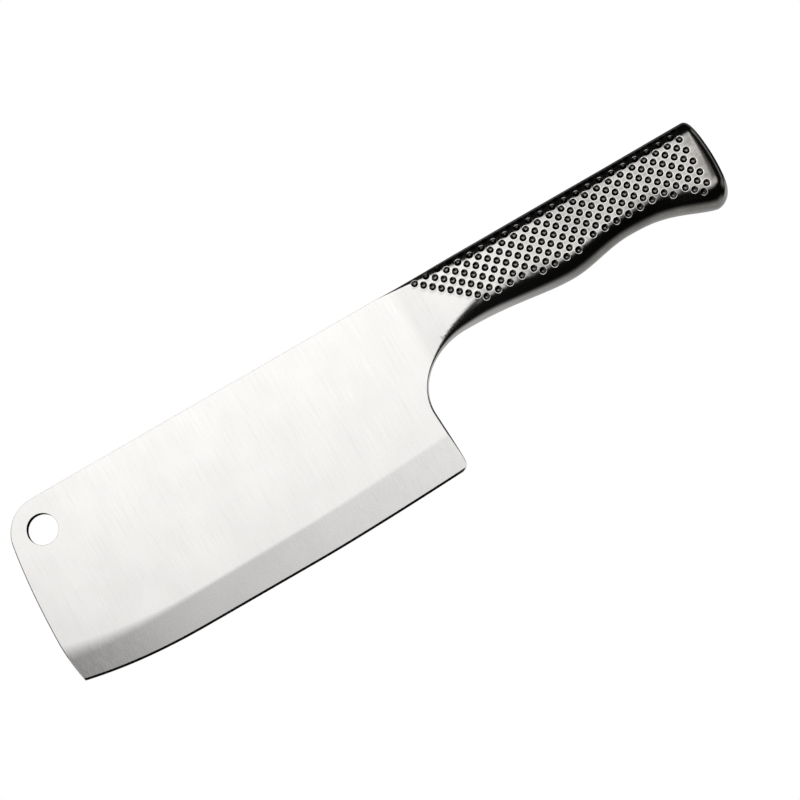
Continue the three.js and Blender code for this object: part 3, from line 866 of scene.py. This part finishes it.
def blade_cheek(skin, rims, marks, rows, form):
    """Both sides of the blade inside its crowned rim: cheek, bevel, honed edge and the flank of the neck."""
    softness = grind_softness(form)
    spine, heel = rims
    stations = np.linspace(-BLADE_LENGTH, 0, EDGE_STEPS + 1)[1:-2]
    flat, chains = [*spine, *heel], []

    def extend(points):
        flat.extend(points)
        return list(range(len(flat) - len(points), len(flat)))

    for row, start, stop in zip(rows, *marks):
        stop += len(spine)
        held = (stations > flat[start][0] + END_MARGIN) & (stations < flat[stop][0] - END_MARGIN)
        held = stations[held]
        chains.append([start, *extend(list(zip(held, row(held)))), stop])
    neck_line = np.linspace(heel[-1][1], spine[0][1], FLANK_STEPS + 1)[1:-1]
    neck = extend([(NECK_WELD_AT, depth) for depth in neck_line])
    ends = list(range(len(spine) + len(heel)))
    outer = ends[:len(spine)] + chains[-1][1:-1] + ends[len(spine):] + neck
    loop = np.array(flat)[outer]
    rim_radius = HANG_HOLE_RADIUS + form.hole_softness
    rim = extend(np.stack(circle(HANG_HOLE, rim_radius, HOLE_TURNS), axis=1))
    field = staggered((-BLADE_LENGTH, 0), (HEEL_FACE, BLADE_HEIGHT), CHEEK_SPACING)
    swell = staggered((HEEL_FACE, 0), (NECK_WELD_AT, CHOIL_FOOT), NECK_SPACING)
    field = field[field[:, 1] < grind_depth(field[:, 0]) - 2 * softness(field[:, 0])]
    field = field[np.linalg.norm(field - HANG_HOLE, axis=1) > HANG_HOLE_RADIUS + CHEEK_SPACING / 2]
    field = field[inside(field, loop, CHEEK_SPACING / 4)]
    flat = np.concatenate([np.array(flat), field, swell[inside(swell, loop, NECK_SPACING / 2)]])
    faces = triangles(flat, [*chains, [*outer, outer[0]], [*rim, rim[0]]])
    middles = np.array([flat[face].mean(axis=0) for face in faces])
    kept = np.linalg.norm(middles - HANG_HOLE, axis=1) > rim_radius * math.cos(math.pi / HOLE_SIDES)
    faces = [face for face, keep in zip(faces, kept) if keep]
    x, depth = flat[:, 0], flat[:, 1]
    half = blade_half(x, depth, softness)
    values = np.stack([depth > edge_depth(x) - HONED_HEIGHT, np.zeros_like(x)], axis=1)
    for side in (LEFT, RIGHT):
        skin.add(to_frame(x, side * half, depth), cheek_normals(x, depth, side, softness), faces, values)
    edge = flat[chains[-1]]
    apex = to_frame(edge[:, :1], [LEFT, RIGHT] * blade_half(edge[:, :1], edge[:, 1:], softness), edge[:, 1:])
    skin.add(apex, (0, 0, -1), grid_faces(len(edge), 2))
    return flat[neck]


def hang_hole(skin, softness):
    """The hang hole's wall, with a rounded rim on each cheek."""
    turn = np.linspace(0, math.pi / 2, RIM_STEPS + 1)
    inward = np.concatenate([np.sin(turn), np.sin(turn)[::-1]])[:, None]
    outward = np.concatenate([np.cos(turn), -np.cos(turn)[::-1]])[:, None]
    y = BLADE_THICKNESS / 2 - softness * (1 - np.cos(turn))
    y = np.concatenate([y, -y[::-1]])[:, None]
    x, depth = circle(HANG_HOLE, HANG_HOLE_RADIUS + softness * (1 - inward), HOLE_TURNS)
    normals = np.stack(np.broadcast_arrays(
        -inward * np.cos(HOLE_TURNS), outward, inward * np.sin(HOLE_TURNS)), axis=-1)
    bore = np.broadcast_to(inward ** 2, x.shape).ravel()
    values = np.stack([np.zeros_like(bore), bore], axis=1)
    skin.add(to_frame(x, y, depth), normals, grid_faces(*x.shape, closed=True), values)


class CLEAVER_OT_blade(bpy.types.Operator):
    """Make the ground blade with its bevels, honed edge, hang hole and flared neck"""
    bl_idname = "cleaver.blade"
    bl_label = "Make blade"

    def execute(self, context):
        form = context.scene.cleaver_form
        softness = grind_softness(form)
        rows = bevel_rows(softness)
        skin = Skin("honed", "bore")
        ends, rims, marks = [], [], []
        for points, ways, reach, mark_points in (spine_rim(rows), heel_rim(rows)):
            inner, reach = taper_crown(points, ways, reach, softness)
            ends.append(crown_strip(skin, points, ways, reach, softness))
            rims.append(inner)
            marks.append(mark_points)
        neck = blade_cheek(skin, rims, marks, rows, form)
        for end in (ends[0][-1], ends[1][0]):
            skin.add(end, (0, 0, -1), [range(len(end))])
        x, depth = neck.T
        left, right = (to_frame(x, side * half_width(x), depth) for side in (LEFT, RIGHT))
        seat = np.concatenate([ends[0][0], right[::-1], ends[1][-1][::-1], left])
        skin.add(seat, (1, 0, 0), [range(len(seat))])
        hang_hole(skin, form.hole_softness)
        place(skin, "ground_blade", blade_steel(context.scene.cleaver_finish), "blade_steel", "blade")
        return {"FINISHED"}


def surface_lengths(x):
    """At each x: shares down the section, lengths over the surface to them, and to the main dimple row."""
    bend = np.linspace(0, 1, LENGTH_SAMPLES + 1)
    shares = np.concatenate([bend, bend[1:] + 1, bend[1:] + 2])
    y, depth = side_profile(section_at(x[:, None]), shares[None, :], SEAM_HALF)
    steps = np.hypot(np.diff(y, axis=1), np.diff(depth, axis=1))
    lengths = np.concatenate([np.zeros((len(x), 1)), np.cumsum(steps, axis=1)], axis=1)
    row_depth = eased(x, [(NECK_WELD_END, DIMPLE_NECK_ROW_DEPTH, 1), (TOP_ROUND_AT, DIMPLE_ROW_DEPTH, 1)])
    return shares, lengths, lengths[:, LENGTH_SAMPLES] + row_depth - depth[:, LENGTH_SAMPLES]


def height_of(x, share):
    """How far above the main dimple row a point lies, measured over the surface."""
    shares, lengths, main_row = surface_lengths(x)
    return main_row - np.array([np.interp(s, shares, row) for s, row in zip(share, lengths)])


def share_of(x, height):
    """The share down the section of a point that lies at a height over the surface."""
    shares, lengths, main_row = surface_lengths(x)
    return np.array([np.interp(w, row, shares) for w, row in zip(main_row - height, lengths)])


def dimple_places(form):
    """Middles of the dimples on the unrolled side: x, and height above the main row."""
    rows_below = math.ceil((BUTT_DEPTH - DIMPLE_ROW_DEPTH) / form.dimple_row_pitch)
    columns = math.ceil(HANDLE_LENGTH / form.dimple_pitch)
    rows = np.arange(-DIMPLE_ROWS_ABOVE, rows_below + 1)
    stagger = np.abs(rows % 2) / 2
    x = DIMPLE_COLUMN_AT + form.dimple_pitch * (np.arange(-columns, columns + 1)[None, :] + stagger[:, None])
    x = x + DIMPLE_ROW_LEAN * rows[:, None]
    height = np.broadcast_to(-rows[:, None] * form.dimple_row_pitch, x.shape)
    places = np.stack([x.ravel(), height.ravel()], axis=1)
    lowest = -(DIMPLE_FULL_ROWS + 0.5) * form.dimple_row_pitch
    places = places[(places[:, 0] > DIMPLE_FRONT_AT) & (places[:, 0] < HANDLE_LENGTH - DIMPLE_BACK_MARGIN)]
    x = places[:, 0]
    _, depth = side_profile(section_at(x), share_of(x, places[:, 1]), SEAM_HALF)
    behind_front = x > DIMPLE_FRONT_AT + DIMPLE_FRONT_SLANT * depth
    has_room = (places[:, 1] > lowest) | (depth < belly_depth(x) - DIMPLE_BELLY_MARGIN)
    return places[behind_front & has_room]


def dimple_tree():
    """Nodes that press one dimple, a bowl with a raised lip, and set a copy of it on every point."""
    tree = bpy.data.node_groups.new("Dimple field", "GeometryNodeTree")
    for name, way, kind in (
            ("Geometry", "INPUT", "Geometry"), ("Radius", "INPUT", "Float"), ("Depth", "INPUT", "Float"),
            ("Lip width", "INPUT", "Float"), ("Lip height", "INPUT", "Float"), ("Sides", "INPUT", "Int"),
            ("Material", "INPUT", "Material"), ("Geometry", "OUTPUT", "Geometry")):
        tree.interface.new_socket(name, in_out=way, socket_type=f"NodeSocket{kind}")
    given = add(tree, "NodeGroupInput").outputs
    # A sheet of five bands, three for the bowl and two for the lip, that is wound round into a disc
    count = calc(tree, "ADD", given["Sides"], 1.0)
    sheet = {"Size X": 1.0, "Size Y": 1.0, "Vertices X": count, "Vertices Y": 6}
    shape = add(tree, "GeometryNodeMeshGrid", sheet).outputs[0]
    position = add(tree, "GeometryNodeInputPosition").outputs[0]
    around, outwards, _ = add(tree, "ShaderNodeSeparateXYZ", {0: position}).outputs
    angle = calc(tree, "MULTIPLY", around, -2 * math.pi)
    bowl = remap(tree, outwards, -0.5, 0.1, 0.0, math.pi / 2)
    lip = remap(tree, outwards, 0.1, 0.5)
    bowl_out = calc(tree, "SINE", bowl)
    lip_out = calc(tree, "MULTIPLY", lip, given["Lip width"])
    radius = calc(tree, "MULTIPLY_ADD", bowl_out, given["Radius"], lip_out)
    hollow = calc(tree, "POWER", calc(tree, "COSINE", bowl), 2.0)
    bulge = calc(tree, "SINE", calc(tree, "MULTIPLY", lip, math.pi))
    raised = calc(tree, "MULTIPLY", bulge, given["Lip height"])
    wound = add(tree, "ShaderNodeCombineXYZ", {
        0: calc(tree, "MULTIPLY", radius, calc(tree, "COSINE", angle)),
        1: calc(tree, "MULTIPLY", radius, calc(tree, "SINE", angle)),
        2: calc(tree, "SUBTRACT", raised, calc(tree, "MULTIPLY", hollow, given["Depth"]))}).outputs[0]
    # The bowl is darkest below its rim and paler on its floor; the lip is drawn brightest on its inner half,
    # partly polish and partly a painted highlight
    wall = remap(tree, bowl_out, 1.0, 0.9, 0.15, 1.0)
    dark = calc(tree, "MULTIPLY", wall, remap(tree, bowl_out, 0.0, 0.5, 0.66, 1.0))
    for name, value in (("bowl", dark), ("lip", remap(tree, lip, 0.5, 1.0, 1.0, 0.3))):
        shape = add(tree, "GeometryNodeStoreNamedAttribute", {
            "Geometry": shape, "Name": name, "Value": value}, data_type="FLOAT", domain="POINT").outputs[0]
    shape = add(tree, "GeometryNodeSetPosition", {"Geometry": shape, "Position": wound}).outputs[0]
    shape = add(tree, "GeometryNodeMergeByDistance", {"Geometry": shape, "Distance": SAME_PLACE}).outputs[0]
    shape = add(tree, "GeometryNodeInstanceOnPoints", {
        "Points": given["Geometry"], "Instance": shape}).outputs[0]
    shape = add(tree, "GeometryNodeRealizeInstances", {"Geometry": shape}).outputs[0]
    shape = add(tree, "GeometryNodeSetMaterial", {
        "Geometry": shape, "Material": given["Material"]}).outputs[0]
    add(tree, "NodeGroupOutput", {0: shape})
    return tree


def pressed_dimples(form, places, material):
    """Every dimple of one side as a plain mesh on the unrolled side."""
    points = bpy.data.meshes.new("dimple_places")
    points.from_pydata([(x, y, 0) for x, y in places], [], [])
    carrier = link("dimple_places", points)
    modifier = carrier.modifiers.new("Dimple field", "NODES")
    modifier.node_group = dimple_tree()
    sizes = {
        "Radius": form.dimple_radius,
        "Depth": form.dimple_depth,
        "Lip width": form.dimple_lip,
        "Lip height": form.dimple_lip_height,
        "Sides": form.dimple_sides,
        "Material": material,
    }
    for socket in modifier.node_group.interface.items_tree:
        if socket.in_out == "INPUT" and socket.name in sizes:
            modifier[socket.identifier] = sizes[socket.name]
    evaluated = carrier.evaluated_get(bpy.context.evaluated_depsgraph_get())
    mesh = bpy.data.meshes.new_from_object(evaluated)
    bpy.data.objects.remove(carrier)
    return mesh


def mesh_arrays(mesh, *marks):
    """A mesh's points, faces and marks as arrays."""
    points = np.array([vertex.co for vertex in mesh.vertices], float)
    faces = [list(polygon.vertices) for polygon in mesh.polygons]
    values = [[item.value for item in mesh.attributes[mark].data] for mark in marks]
    return points, faces, np.array(values, float).T


def open_edges(faces):
    """Edges that only one face has."""
    seen = Counter(tuple(sorted(edge)) for face in faces for edge in zip(face, face[1:] + face[:1]))
    return [edge for edge, count in seen.items() if count == 1]


def shell_border():
    """The border of one side's outer surface, up to where the butt rolls over: x and share, once round."""
    section = section_at(np.full(SHARES.shape, BUTT_START))
    _, depth = side_profile(section, SHARES, SEAM_HALF)
    butt = butt_x(depth, 0.0)
    top = np.linspace(NECK_WELD_END, butt[0], BODY_STEPS + 1)
    bottom = np.linspace(NECK_WELD_END, butt[-1], BODY_STEPS + 1)
    x = np.concatenate([top[:-1], butt[:-1], bottom[:0:-1], np.full(len(SHARES) - 1, NECK_WELD_END)])
    share = np.concatenate([
        np.zeros(BODY_STEPS), SHARES[:-1], np.full(BODY_STEPS, 3.0), SHARES[:0:-1]])
    return x, share


def unrolled_side(form, material):
    """One side's outer surface laid flat: dimples pressed in, and the land between them filled to the border.

    Gives points (x, height above the main row, height over the surface), normals, faces and marks, which of
    the points are the border, and the border's shares down the section.
    """
    places = dimple_places(form)
    points, faces, marks = mesh_arrays(pressed_dimples(form, places, material), "bowl", "lip")
    x, share = shell_border()
    border = np.stack([x, height_of(x, share)], axis=1)
    reach = form.dimple_radius + form.dimple_lip

    def nearest(spots):
        return np.linalg.norm(spots[:, None, :] - places[None, :, :], axis=-1).min(axis=1)

    land = staggered(border.min(axis=0), border.max(axis=0), LAND_SPACING)
    land = land[inside(land, border, LAND_SPACING / 2)]
    land = land[nearest(land) > reach + LAND_SPACING / 3]
    first = len(points)
    flat = np.concatenate([points[:, :2], border, land])
    loop = list(range(first, first + len(border)))
    rims = open_edges(faces)
    used = sorted({v for edge in rims for v in edge} | set(range(first, len(flat))))
    short = {v: i for i, v in enumerate(used)}
    chains = [[short[v] for v in chain] for chain in (*rims, loop + loop[:1])]
    filled = [[used[i] for i in face] for face in triangles(flat[used], chains)]
    middles = np.array([flat[face].mean(axis=0) for face in filled])
    kept = nearest(middles) > reach * math.cos(math.pi / form.dimple_sides)
    faces += [face for face, keep in zip(filled, kept) if keep]
    points = np.concatenate([points, np.pad(flat[first:], ((0, 0), (0, 1)))])
    marks = np.concatenate([marks, np.zeros((len(points) - first, 2))])
    sheet = bpy.data.meshes.new("unrolled_side")
    sheet.from_pydata(points.tolist(), [], faces)
    normals = np.array([normal.vector for normal in sheet.vertex_normals])
    bpy.data.meshes.remove(sheet)
    return points, normals, faces, marks, slice(first, first + len(border)), share


def wrap_side(skin, flat_side, side):
    """Bend the unrolled side round the handle, carrying its dimples and its normals along."""
    points, flat_normals, faces, marks, border, border_share = flat_side
    x = points[:, 0]
    share = share_of(x, points[:, 1])
    share[border] = border_share

    def form(a, b):
        return grip(a, b, side)

    out = normals_of(form, x, share)
    out = faced(out, out[:, 1:2] * side)
    up = unit(form(x, share - STEP) - form(x, share + STEP))
    run = unit(np.cross(up, out)) * -side
    normals = unit(flat_normals[:, :1] * run + flat_normals[:, 1:2] * up + flat_normals[:, 2:] * out)
    wrapped = form(x, share) + points[:, 2:] * out
    first = border.start + BODY_STEPS
    wrapped[first:first + len(SHARES)] = roll(0.0, SHARES, side)
    skin.add(wrapped, normals, faces, marks)


def shell_inside(skin, side):
    """The rolled butt, the inner wall and the rims that close one half of the handle."""
    turn, share = np.meshgrid(ROLL_TURNS, SHARES, indexing="ij")
    stations = np.linspace(0, 1, BODY_STEPS + 1)[:, None]
    borders = []
    for inset, sign in ((0.0, 1), (WALL, -1)):
        def rolled(a, b, inset=inset):
            return roll(a, b, side, inset)

        def body(a, b, inset=inset):
            return grip(a, b, side, inset)

        butt = rolled(turn, share)
        normals = away_from(handle_axis(butt), butt, normals_of(rolled, turn, share))
        skin.add(butt, sign * normals, grid_faces(*turn.shape))
        end, seam = butt[-1], butt[-1].copy()
        seam[:, 1] = side * SEAM_HALF
        depth = SPINE_Z - end[:, 2]
        slope = -4 * BUTT_CROWN / BUTT_DEPTH * (2 * depth / BUTT_DEPTH - 1)
        crowned = unit(np.stack([np.ones_like(slope), np.zeros_like(slope), slope], axis=1))
        skin.add(np.stack([end, seam]), sign * np.stack([crowned, crowned]), grid_faces(2, len(SHARES)))
        x = NECK_WELD_END + stations * (butt[0, :, 0] - HEEL_X - NECK_WELD_END)
        cuts = np.broadcast_to(SHARES, x.shape)
        wall = body(x, cuts)
        wall[-1] = butt[0]
        if inset:
            normals = normals_of(body, x, cuts)
            skin.add(wall, -faced(normals, normals[..., 1:2] * side), grid_faces(*x.shape))
        top, bottom = (np.concatenate([wall[:, i], butt[1:, i]]) for i in (0, -1))
        borders.append((np.concatenate([top, seam[1:-1], bottom[::-1]]), wall[0]))
    for rims, way in zip(zip(*borders), ((0, -side, 0), (-1, 0, 0))):
        skin.add(np.stack(rims), way, grid_faces(2, len(rims[0])))


class CLEAVER_OT_handle_shells(bpy.types.Operator):
    """Make the two pressed halves of the handle with their dimples"""
    bl_idname = "cleaver.handle_shells"
    bl_label = "Make handle halves"

    def execute(self, context):
        steel = handle_steel(context.scene.cleaver_finish, "Blasted austenitic stainless steel")
        flat_side = unrolled_side(context.scene.cleaver_form, steel)
        for side, name in ((LEFT, "left"), (RIGHT, "right")):
            skin = Skin("bowl", "lip")
            wrap_side(skin, flat_side, side)
            shell_inside(skin, side)
            place(skin, f"{name}_dimpled_half", steel, "handle_steel", f"{name}_handle_shell")
        return {"FINISHED"}


def seam_row(section, x_at, y, lower):
    """A row of points across the seam at the top or the underside of a section."""
    drop = 1 - (1 - (np.abs(y) / section.half) ** (2 / ROUND_SHARE)) ** (ROUND_SHARE / 2)
    high = section.top + section.top_round * drop
    low = section.bottom - section.bottom_round * drop
    depth = low if lower else high
    return to_frame(x_at(depth), y, depth)


def seam_rows(y, inset):
    """Rows across the seam: along the back, over the butt and back along the underside."""
    def rolled(turn, lower):
        return seam_row(butt_section(turn, inset), lambda depth: butt_x(depth, turn, inset), y, lower)

    def run(lower):
        length = rolled(0.0, lower)[:, 0] - HEEL_X - NECK_WELD_END
        rows = []
        for share in np.linspace(0, 1, BODY_STEPS + 1)[:-1]:
            x = NECK_WELD_END + share * length
            rows.append(seam_row(section_at(x, inset), lambda depth, x=x: x, y, lower))
        return rows + [rolled(turn, lower) for turn in ROLL_TURNS]

    _, depth = side_profile(butt_section(math.pi / 2, inset), SHARES, SEAM_HALF)
    face = [to_frame(butt_x(d, math.pi / 2, inset), y, d) for d in depth]
    return np.array(run(False) + face + run(True)[::-1])


class CLEAVER_OT_welds(bpy.types.Operator):
    """Make the ground-flush welds round the neck and along the handle's seam"""
    bl_idname = "cleaver.welds"
    bl_label = "Make welds"

    def execute(self, context):
        steel = handle_steel(context.scene.cleaver_finish, "Stainless weld, ground flush and blasted")
        self.make_seam(steel)
        self.make_neck(steel)
        return {"FINISHED"}

    def make_seam(self, steel):
        skin = Skin()
        outer = seam_rows(np.linspace(-SEAM_HALF, SEAM_HALF, SEAM_STEPS + 1), 0.0)
        inner = seam_rows(np.array([-SEAM_HALF, SEAM_HALF]), WALL)
        for rows, sign in ((outer, 1), (inner, -1)):
            normals = away_from(handle_axis(rows), rows, grid_normals(rows))
            skin.add(rows, sign * normals, grid_faces(*rows.shape[:2]))
        for column, side in ((0, LEFT), (-1, RIGHT)):
            wall = np.stack([outer[:, column], inner[:, column]])
            skin.add(wall, (0, side, 0), grid_faces(2, len(outer)))
        for row in (0, -1):
            end = np.concatenate([outer[row], inner[row, ::-1]])
            skin.add(end, (-1, 0, 0), [range(len(end))])
        place(skin, "seam_weld", steel, "weld_steel", "handle_seam_weld")

    def make_neck(self, steel):
        skin = Skin()
        x = np.linspace(NECK_WELD_AT, NECK_WELD_END, WELD_STEPS + 1)
        x, share = np.meshgrid(x, SHARES, indexing="ij")
        # On the middle plane normals have no side, so they are told apart by top and bottom
        upper = SEAM_LEAN * np.sign(1.5 - share)[..., None]
        for side in (LEFT, RIGHT):
            rings = []
            for inset, sign in ((0.0, 1), (WALL, -1)):
                def band(a, b, inset=inset):
                    return grip(a, b, side, inset, cut=0.0)

                rings.append(band(x, share))
                normals = normals_of(band, x, share)
                normals = faced(normals, normals[..., 1:2] * side + upper * normals[..., 2:])
                skin.add(rings[-1], sign * normals, grid_faces(*x.shape))
            for row, way in ((0, -1), (-1, 1)):
                rim = np.stack([ring[row] for ring in rings])
                skin.add(rim, (way, 0, 0), grid_faces(2, len(SHARES)))
        place(skin, "neck_weld_ring", steel, "weld_steel", "neck_weld")


class CLEAVER_OT_sand(bpy.types.Operator):
    """Give the loose balance sand its grains"""
    bl_idname = "cleaver.sand"
    bl_label = "Finish sand"

    def execute(self, context):
        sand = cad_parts["balance_sand"]
        sand.data.materials.clear()
        sand.data.materials.append(dry_sand(context.scene.cleaver_finish))
        return {"FINISHED"}


# Soft light cards, by angles round the knife (front 0, top 90, back 180) and endwise (tip -90, butt 90)
Card = namedtuple("Card", "level low high low_soft high_soft tip butt end_soft")
CARDS = (
    Card(1.50, 4, 39, 12, 10, -62, 16, 12),
    Card(1.21, -19, 4, 8, 12, -6.3, 40, 9),
    Card(0.50, -16, 3, 6, 8, 4, 40, 2.5),
    Card(0.50, -190, -108, 4, 22, -95, 30, 10),
    Card(0.50, 173, 200, 3, 3, -95, 30, 10),
    Card(0.11, 124, 160, 10, 8, -95, 60, 10),
    Card(1.15, -60, -10, 8, 8, -70, -34, 8),
    Card(0.80, -176, -140, 4, 10, 28, 60, 8),
    Card(0.50, -176, -140, 4, 10, -60, -28, 8),
    Card(0.40, -190, 190, 4, 4, 80, 95, 5),
    Card(0.40, 50, 130, 15, 15, 58, 80, 8),
    Card(0.40, -130, -50, 15, 15, 58, 80, 8),
    Card(0.35, -190, 190, 4, 4, -95, -80, 5),
)
AMBIENT = 0.006

# The room: a round of paper that fades out, a softbox overhead and the camera's sensor in millimetres
FLOOR_REACH = 1.5
FLOOR_SIDES = 48
FLOOR_FADE = (0.3, 1.1)
PAPER_FIBRE = 2 * MM
SOFTBOX_SIZE = 2
SOFTBOX_POWER = 26
SOFTBOX_PLACE = (0, -0.05, 1.1)
SENSOR_WIDTH = 36


def mixed(tree, share, first, second):
    """A shader between two."""
    return add(tree, "ShaderNodeMixShader", {0: share, 1: first.outputs[0], 2: second.outputs[0]})


def studio_world(brightness):
    """A white room whose reflections are soft cards on black."""
    world = bpy.data.worlds.new("Studio")
    bpy.context.scene.world = world
    world.use_nodes = True
    tree = world.node_tree
    tree.nodes.clear()
    way = add(tree, "ShaderNodeTexCoord").outputs["Generated"]
    x, y, z = add(tree, "ShaderNodeSeparateXYZ", {0: way}).outputs
    around = calc(tree, "ARCTAN2", z, calc(tree, "MULTIPLY", y, -1.0))
    endwise = calc(tree, "ARCSINE", x)
    total = AMBIENT
    for card in CARDS:
        light = card.level
        for angle, middle, soft in (
                (around, card.low, card.low_soft), (around, card.high, -card.high_soft),
                (endwise, card.tip, card.end_soft), (endwise, card.butt, -card.end_soft)):
            start, stop = math.radians(middle - soft), math.radians(middle + soft)
            light = calc(tree, "MULTIPLY", remap(tree, angle, start, stop, smooth=True), light)
        total = calc(tree, "ADD", light, total)
    cards = add(tree, "ShaderNodeBackground", {"Color": total, "Strength": brightness})
    white = add(tree, "ShaderNodeBackground", {"Color": (1, 1, 1, 1), "Strength": 1.0})
    seen = add(tree, "ShaderNodeLightPath").outputs["Is Camera Ray"]
    add(tree, "ShaderNodeOutputWorld", {0: mixed(tree, seen, cards, white).outputs[0]})


def floor_paper():
    """Matt white background paper: even, pale, fading into the room; it can't be seen from below."""
    material, tree, where = new_material("Matt white paper")
    tone = remap(tree, noise(tree, where, PAPER_FIBRE, 2.0), 0.0, 1.0, 0.86, 0.9)
    paper = add(tree, "ShaderNodeBsdfDiffuse", {"Color": tone})
    away = add(tree, "ShaderNodeVectorMath", {0: where}, operation="LENGTH").outputs["Value"]
    glow = add(tree, "ShaderNodeEmission", {"Color": (1, 1, 1, 1), "Strength": 1.0})
    faded = mixed(tree, remap(tree, away, *FLOOR_FADE, smooth=True), paper, glow)
    below = add(tree, "ShaderNodeNewGeometry").outputs["Backfacing"]
    one_sided = mixed(tree, below, faded, add(tree, "ShaderNodeBsdfTransparent"))
    add(tree, "ShaderNodeOutputMaterial", {0: one_sided.outputs[0]})
    return material


class CLEAVER_OT_stage(bpy.types.Operator):
    """Set the floor, the soft light and the camera"""
    bl_idname = "cleaver.stage"
    bl_label = "Set stage"

    def execute(self, context):
        studio = context.scene.cleaver_studio
        studio_world(studio.brightness)
        self.make_floor()
        self.make_light()
        self.make_camera(studio)
        context.scene.view_settings.view_transform = "Standard"
        return {"FINISHED"}

    def make_floor(self):
        mesh = bpy.data.meshes.new("floor")
        turns = np.linspace(0, 2 * math.pi, FLOOR_SIDES, endpoint=False)
        rim = [(FLOOR_REACH * math.cos(turn), FLOOR_REACH * math.sin(turn), 0) for turn in turns]
        mesh.from_pydata(rim, [], [range(FLOOR_SIDES)])
        mesh.materials.append(floor_paper())
        floor = link("floor", mesh)
        floor.visible_glossy = False

    def make_light(self):
        lamp = bpy.data.lights.new("overhead_softbox", "AREA")
        lamp.size = SOFTBOX_SIZE
        lamp.energy = SOFTBOX_POWER
        softbox = link("overhead_softbox", lamp)
        softbox.location = SOFTBOX_PLACE
        softbox.visible_glossy = False
        softbox.visible_camera = False

    def make_camera(self, studio):
        lens = bpy.data.cameras.new("camera")
        lens.sensor_width = SENSOR_WIDTH
        lens.lens = SENSOR_WIDTH * studio.distance / studio.picture_width
        camera = link("camera", lens)
        back = Vector((0, -math.cos(studio.elevation), math.sin(studio.elevation)))
        middle = Vector((studio.middle_x, 0, studio.middle_z))
        level = (-back).to_track_quat("-Z", "Y").to_matrix().to_4x4()
        turned = Matrix.Rotation(-studio.roll, 4, "Z")
        camera.matrix_world = Matrix.Translation(middle + back * studio.distance) @ level @ turned
        bpy.context.scene.camera = camera


OPERATORS = (
    CLEAVER_OT_blade, CLEAVER_OT_handle_shells, CLEAVER_OT_welds, CLEAVER_OT_sand, CLEAVER_OT_stage)
GROUPS = {"cleaver_form": CleaverForm, "cleaver_finish": CleaverFinish, "cleaver_studio": CleaverStudio}


class CLEAVER_PT_panel(bpy.types.Panel):
    """Lists the cleaver's sizes, finishes and pieces"""
    bl_idname = "CLEAVER_PT_panel"
    bl_label = "Cleaver"
    bl_space_type = "VIEW_3D"
    bl_region_type = "UI"
    bl_category = "Cleaver"

    def draw(self, context):
        for group, kind in GROUPS.items():
            box = self.layout.box()
            for name in kind.__annotations__:
                box.prop(getattr(context.scene, group), name)
        for operator in OPERATORS:
            self.layout.operator(operator.bl_idname)


def register():
    for kind in (*GROUPS.values(), *OPERATORS, CLEAVER_PT_panel):
        bpy.utils.register_class(kind)
    for group, kind in GROUPS.items():
        setattr(bpy.types.Scene, group, PointerProperty(type=kind))


def unregister():
    for group in GROUPS:
        delattr(bpy.types.Scene, group)
    for kind in reversed((*GROUPS.values(), *OPERATORS, CLEAVER_PT_panel)):
        bpy.utils.unregister_class(kind)


def main():
    register()
    bpy.ops.cleaver.stage()
    bpy.ops.cleaver.blade()
    bpy.ops.cleaver.handle_shells()
    bpy.ops.cleaver.welds()
    bpy.ops.cleaver.sand()


if __name__ == "__main__":
    main()
